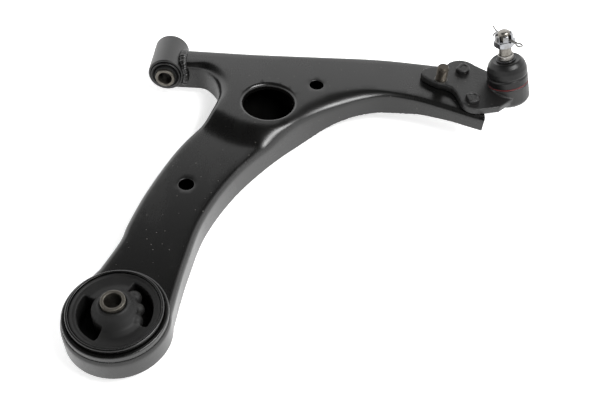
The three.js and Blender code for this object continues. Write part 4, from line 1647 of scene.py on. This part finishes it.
    def nut(self) -> None:
        """The castle nut: a chamfered hexagon under a slotted crown."""
        bore = self.thread + 0.12
        crown = self.nut_across / 2 - 0.6
        reach = self.nut_across / 2 - 0.35
        side = rows_between(self.nut_across, self.nut_bottom, self.nut_crown, 0.3)
        shape = hexagon_shape(self.nut_across, self.nut_bottom, self.nut_crown, reach)
        profile = [(bore, self.nut_bottom + 0.9), (bore + 0.9, self.nut_bottom)]
        profile += [(reach - 0.2, self.nut_bottom), *side]
        profile += [(crown + 0.1, self.nut_crown), (crown, self.nut_crown + 0.4), (crown, self.nut_top - 0.9)]
        profile += [(crown - 0.35, self.nut_top - 0.3), (crown - 0.9, self.nut_top)]
        profile += [(bore + 0.8, self.nut_top), (bore, self.nut_top - 0.8)]
        shoulder = self.nut_crown + 0.01
        body = Solid(revolved(profile, 96, lambda a, r, z: r if z > shoulder else shape(a, r, z)))
        depth = 10.0
        for k in range(3):
            slot = box_form((30, self.slot, depth), (0, 0, self.nut_crown + 0.5 + depth / 2))
            body.cut(Solid(slot.moved(Matrix.Rotation(self.pin_turn + k * math.pi / 3, 4, "Z"))))
        body.modified("BEVEL", width=0.28, segments=2, limit_method="ANGLE", angle_limit=math.radians(50))
        body.placed("castle_nut_crowned", JOINT_AT, ZINC, Body.STUD, ["castle_nut"])

    def pin(self) -> None:
        """The split pin: two half-round legs from one eye, one leg bent up over the stud."""
        gap = 0.78
        upper = [(-16.5, gap, 4.2), (-14.5, gap, 2.2), (-12, gap, 0.5)]
        upper += [(-9, gap, 0), (0, gap, 0), (14, gap, 0)]
        eye = [(18, 1.1, 0), (20, 2.0, 0), (22.3, 2.35, 0), (24.4, 1.5, 0), (25, 0, 0)]
        lower = [(24.4, -1.5, 0), (22.3, -2.35, 0), (20, -2.0, 0), (18, -1.1, 0)]
        lower += [(14, -gap, 0), (0, -gap, 0), (-8.6, -gap, 0), (-11, -gap - 0.2, -0.5)]
        lower += [(-12.6, -gap - 0.6, -2.2), (-13.3, -gap - 0.9, -4.6)]
        knots = [Vector(p) for p in [*upper, *eye, *lower]]
        body = Solid(wire_form(self.through(knots, 0.6), 0.74, 14))
        axes = self.pin_frame()
        place = Place(JOINT_AT.point(*axes.translation), JOINT_AT.turn @ axes.to_3x3())
        body.placed("split_pin", place, DULL_ZINC, Body.STUD, ["cotter_pin"], 60)

    @staticmethod
    def through(knots: Sequence[Vector], spacing: float) -> list[Vector]:
        """A smooth space curve through the knots."""
        plans = spline([(k.x, k.y) for k in knots], spacing)
        heights = []
        for i in range(len(knots) - 1):
            steps = max(2, round((knots[i + 1].xy - knots[i].xy).length / spacing))
            heights += [knots[i].z + (knots[i + 1].z - knots[i].z) * k / steps for k in range(steps)]
        heights.append(knots[-1].z)
        softened = np.convolve([heights[0], *heights, heights[-1]], [0.25, 0.5, 0.25], "valid")
        return [Vector((p.x, p.y, z)) for p, z in zip(plans, softened)]

    def flange_hardware(self) -> None:
        """The two pressed studs with their nuts, and the bolt that stands up out of the ear."""
        for side, place, flat_turn in (("front", self.front_at, -0.6), ("rear", self.rear_at, 0.3)):
            self.stud_head(side, place, flat_turn)
            self.stud_nut(side, place)
        self.bolt()

    def stud_head(self, side: str, place: Pair, flat_turn: float) -> None:
        """One pressed stud: a D-shaped head over a thread.

        Args:
            side: front or rear.
            place: its place on the arm.
            flat_turn: the direction that the head's flat faces away from.
        """
        seat, radius, shank, flat = self.flange_top - 0.1, 7.5, 5.0, 5.3
        tip = self.under_arm - self.stud_nut_height - 3

        def shape(angle: float, base: float, height: float) -> float:
            """Cuts the flat, and threads the shank."""
            if height > seat - 1e-6 and base > 3.5:
                facing = math.cos(angle - flat_turn - math.pi)
                return min(base, (flat - (radius - base)) / facing) if facing > 0.05 else base
            return thread(angle, base, height)

        thread = thread_shape(shank, 1.25, tip + 1.0, -3.0)
        head = rounded(
            [
                (shank, seat, 0), (radius, seat, 0.3), (radius, seat + 5, 1.3), (5.0, seat + 5.0, 0.5),
                (4.4, seat + 4.5, 0.4),
            ],
            4,
        )
        profile = [(0, tip), (shank - 1.2, tip), *rows_between(shank, tip + 1.0, -3.0, 0.22)]
        profile += [*head, (0, seat + 4.5)]
        body = Solid(revolved(profile, 72, shape).moved(Matrix.Translation((*place, 0))))
        body.placed(f"pressed_stud_{side}", ARM_AT, FORGING, Body.ARM, [f"flange_stud_{side}"])

    def stud_nut(self, side: str, place: Pair) -> None:
        """One flanged nut under the arm."""
        across, top = 14.0, self.under_arm
        nut = hex_nut(across, top - self.stud_nut_height, top - 1.2, 5.1)
        washer = revolved(ring_profile(5.1, across / 2 + 0.5, top - 1.8, top, 0.5), 80)
        body = Solid(nut).add(Solid(washer))
        body.obj.data.transform(Matrix.Translation((*place, 0)))
        body.placed(f"flanged_nut_{side}", ARM_AT, DARK_ZINC, Body.ARM, [f"flange_nut_{side}"])

    def bolt(self) -> None:
        """The bolt from below, with its thread standing above the ear, and a lighter ring round the thread's
        base as a painted highlight.
        """
        radius, top, rise = 6.0, self.under_arm, 17.0
        tip = self.flange_top + rise
        across = 17.0
        head = hex_nut(across, top - 8, top - 1.2, 2.0)
        profile = [(0, top - 7.2), *rows_between(radius, top - 7.0, tip - 1.5, 0.22)]
        profile += [(radius - 1.3, tip), (0, tip)]
        shank = revolved(profile, 72, thread_shape(radius, 1.5, -2.0, tip - 1.3))
        washer = revolved(ring_profile(3.0, across / 2 + 1.6, top - 1.8, top, 0.5), 96)
        body = Solid(head).add(Solid(washer)).add(Solid(shank))
        body.obj.data.transform(Matrix.Translation((*self.bolt_at, 0)))
        body.placed("ear_bolt", ARM_AT, DARK_ZINC, Body.ARM, ["flange_bolt"])
        # A thin ring of dull zinc, lighter than the dark bolt, round the thread's base on the ear: a painted
        # highlight where the thread leaves the flange.
        rim = ring_profile(radius + 0.1, radius + 0.9, self.flange_top - 0.1, self.flange_top + 0.3, 0.12)
        lip = Solid(revolved(rim, 80).moved(Matrix.Translation((*self.bolt_at, 0))))
        lip.placed("ear_bolt_highlight_ring", ARM_AT, DULL_ZINC, Body.ARM)


# ---- carried-over pieces ----
def dress_hidden_parts() -> None:
    """Gives the joint's inner pieces, which stay as the frame has them, their finishes."""
    finishes = {
        "seat_spring_washer": SPRING_STEEL,
        "lower_ball_seat": SEAT_PLASTIC,
        "upper_ball_seat": SEAT_PLASTIC,
    }
    for name, finish in finishes.items():
        node = frame["nodes"][name]
        for slot in node.material_slots:
            slot.material = finish.material()
        LOG.info("%s: dressed in %s", name, finish.name)


# ---- stage ----
@dataclass
class Studio:
    """The pale floor, the soft lights and the camera."""

    camera_at: Corner = (145.1, -380.6, 570.0)
    pitch: float = 48.0
    roll: float = 3.5
    lens: float = 50.0
    floor_half: float = 4.0

    def floor(self) -> None:
        """A wide pale floor, just under the part."""
        low, _ = CAD_BOX
        form = prism([(-1, -1), (1, -1), (1, 1), (-1, 1)], -0.01, 0)
        mesh = bpy.data.meshes.new("studio_floor")
        mesh.from_pydata([Vector(v) * self.floor_half for v in form.verts], [], form.faces)
        mesh.transform(Matrix.Translation((0, 0, low.z - 0.0005)))
        floor = bpy.data.objects.new("studio_floor", mesh)
        bpy.context.scene.collection.objects.link(floor)
        material = bpy.data.materials.new("pale_floor")
        board = Board(material)
        shade = board.noise(3, 2, 0.5)
        board.end({
            "Base Color": board.mix(shade, rgb(0.86, 0.86, 0.86), rgb(0.9, 0.9, 0.895)),
            "Roughness": 0.6,
            "Emission Color": rgb(1.0, 1.0, 1.0),
            "Emission Strength": 0.6,
        })
        mesh.materials.append(material)

    def light(self, name: str, at: Corner, aim: Corner, size: Pair, power: float) -> None:
        """One soft panel.

        Args:
            name: its name.
            at: its place in metres.
            aim: the point it faces.
            size: its width and height in metres.
            power: its power in watts.
        """
        data = bpy.data.lights.new(name, "AREA")
        data.shape = "RECTANGLE"
        data.size, data.size_y = size
        data.energy = power
        light = bpy.data.objects.new(name, data)
        light.location = at
        light.rotation_mode = "QUATERNION"
        light.rotation_quaternion = (Vector(aim) - Vector(at)).to_track_quat("-Z", "Y")
        bpy.context.scene.collection.objects.link(light)

    def world(self) -> None:
        """A soft surround: bright near the horizon, dark overhead and behind the camera."""
        world = bpy.data.worlds.new("studio")
        bpy.context.scene.world = world
        board = Board(world, "Generated")
        split = {0: board.coords}
        forward = board.add("ShaderNodeSeparateXYZ", {}, split, "Y")
        upward = board.add("ShaderNodeSeparateXYZ", {}, split, "Z")
        shade = (upward - forward * 0.2).step(0.47, 0.61)
        colour = board.mix(shade, rgb(1.0, 1.0, 1.0), rgb(0.02, 0.02, 0.02))
        light = board.add("ShaderNodeBackground", {}, {"Color": colour, "Strength": 2.0})
        board.add("ShaderNodeOutputWorld", {}, {"Surface": light}, None)

    def camera(self) -> None:
        """The camera, above and behind the part."""
        data = bpy.data.cameras.new("camera")
        data.lens = self.lens
        data.sensor_width = 36.0
        data.clip_start = 0.01
        camera = bpy.data.objects.new("camera", data)
        pitch, roll = math.radians(self.pitch), math.radians(self.roll)
        forward = Vector((0, math.cos(pitch), -math.sin(pitch)))
        right = Vector((1, 0, 0))
        down = forward.cross(right)
        turned_right = right * math.cos(roll) - down * math.sin(roll)
        turned_down = right * math.sin(roll) + down * math.cos(roll)
        basis = Matrix((turned_right, -turned_down, -forward)).transposed()
        camera.matrix_world = Matrix.Translation(ARM_AT.point(*self.camera_at)) @ basis.to_4x4()
        bpy.context.scene.collection.objects.link(camera)
        bpy.context.scene.camera = camera

    def build(self) -> None:
        """Sets up the whole stage."""
        self.camera()
        self.world()
        self.floor()
        self.light("key_panel", (0.55, -0.28, 0.98), (0.05, 0.0, 0.0), (0.7, 0.4), 13)
        self.light("edge_panel", (0.66, 0.0, 1.06), (0.12, 0.1, 0.0), (0.35, 0.35), 4)
        bpy.context.scene.view_settings.view_transform = "Standard"


def main() -> None:
    """Builds the stage and every sub-assembly."""
    logging.basicConfig(level=logging.INFO, format="%(name)s: %(message)s")
    Studio().build()
    for assembly in (PressedArm(), FrontBush(), RearBush(), BallJoint()):
        LOG.info("building %s", type(assembly).__name__)
        assembly.build()
    dress_hidden_parts()


if __name__ == "__main__":
    main()
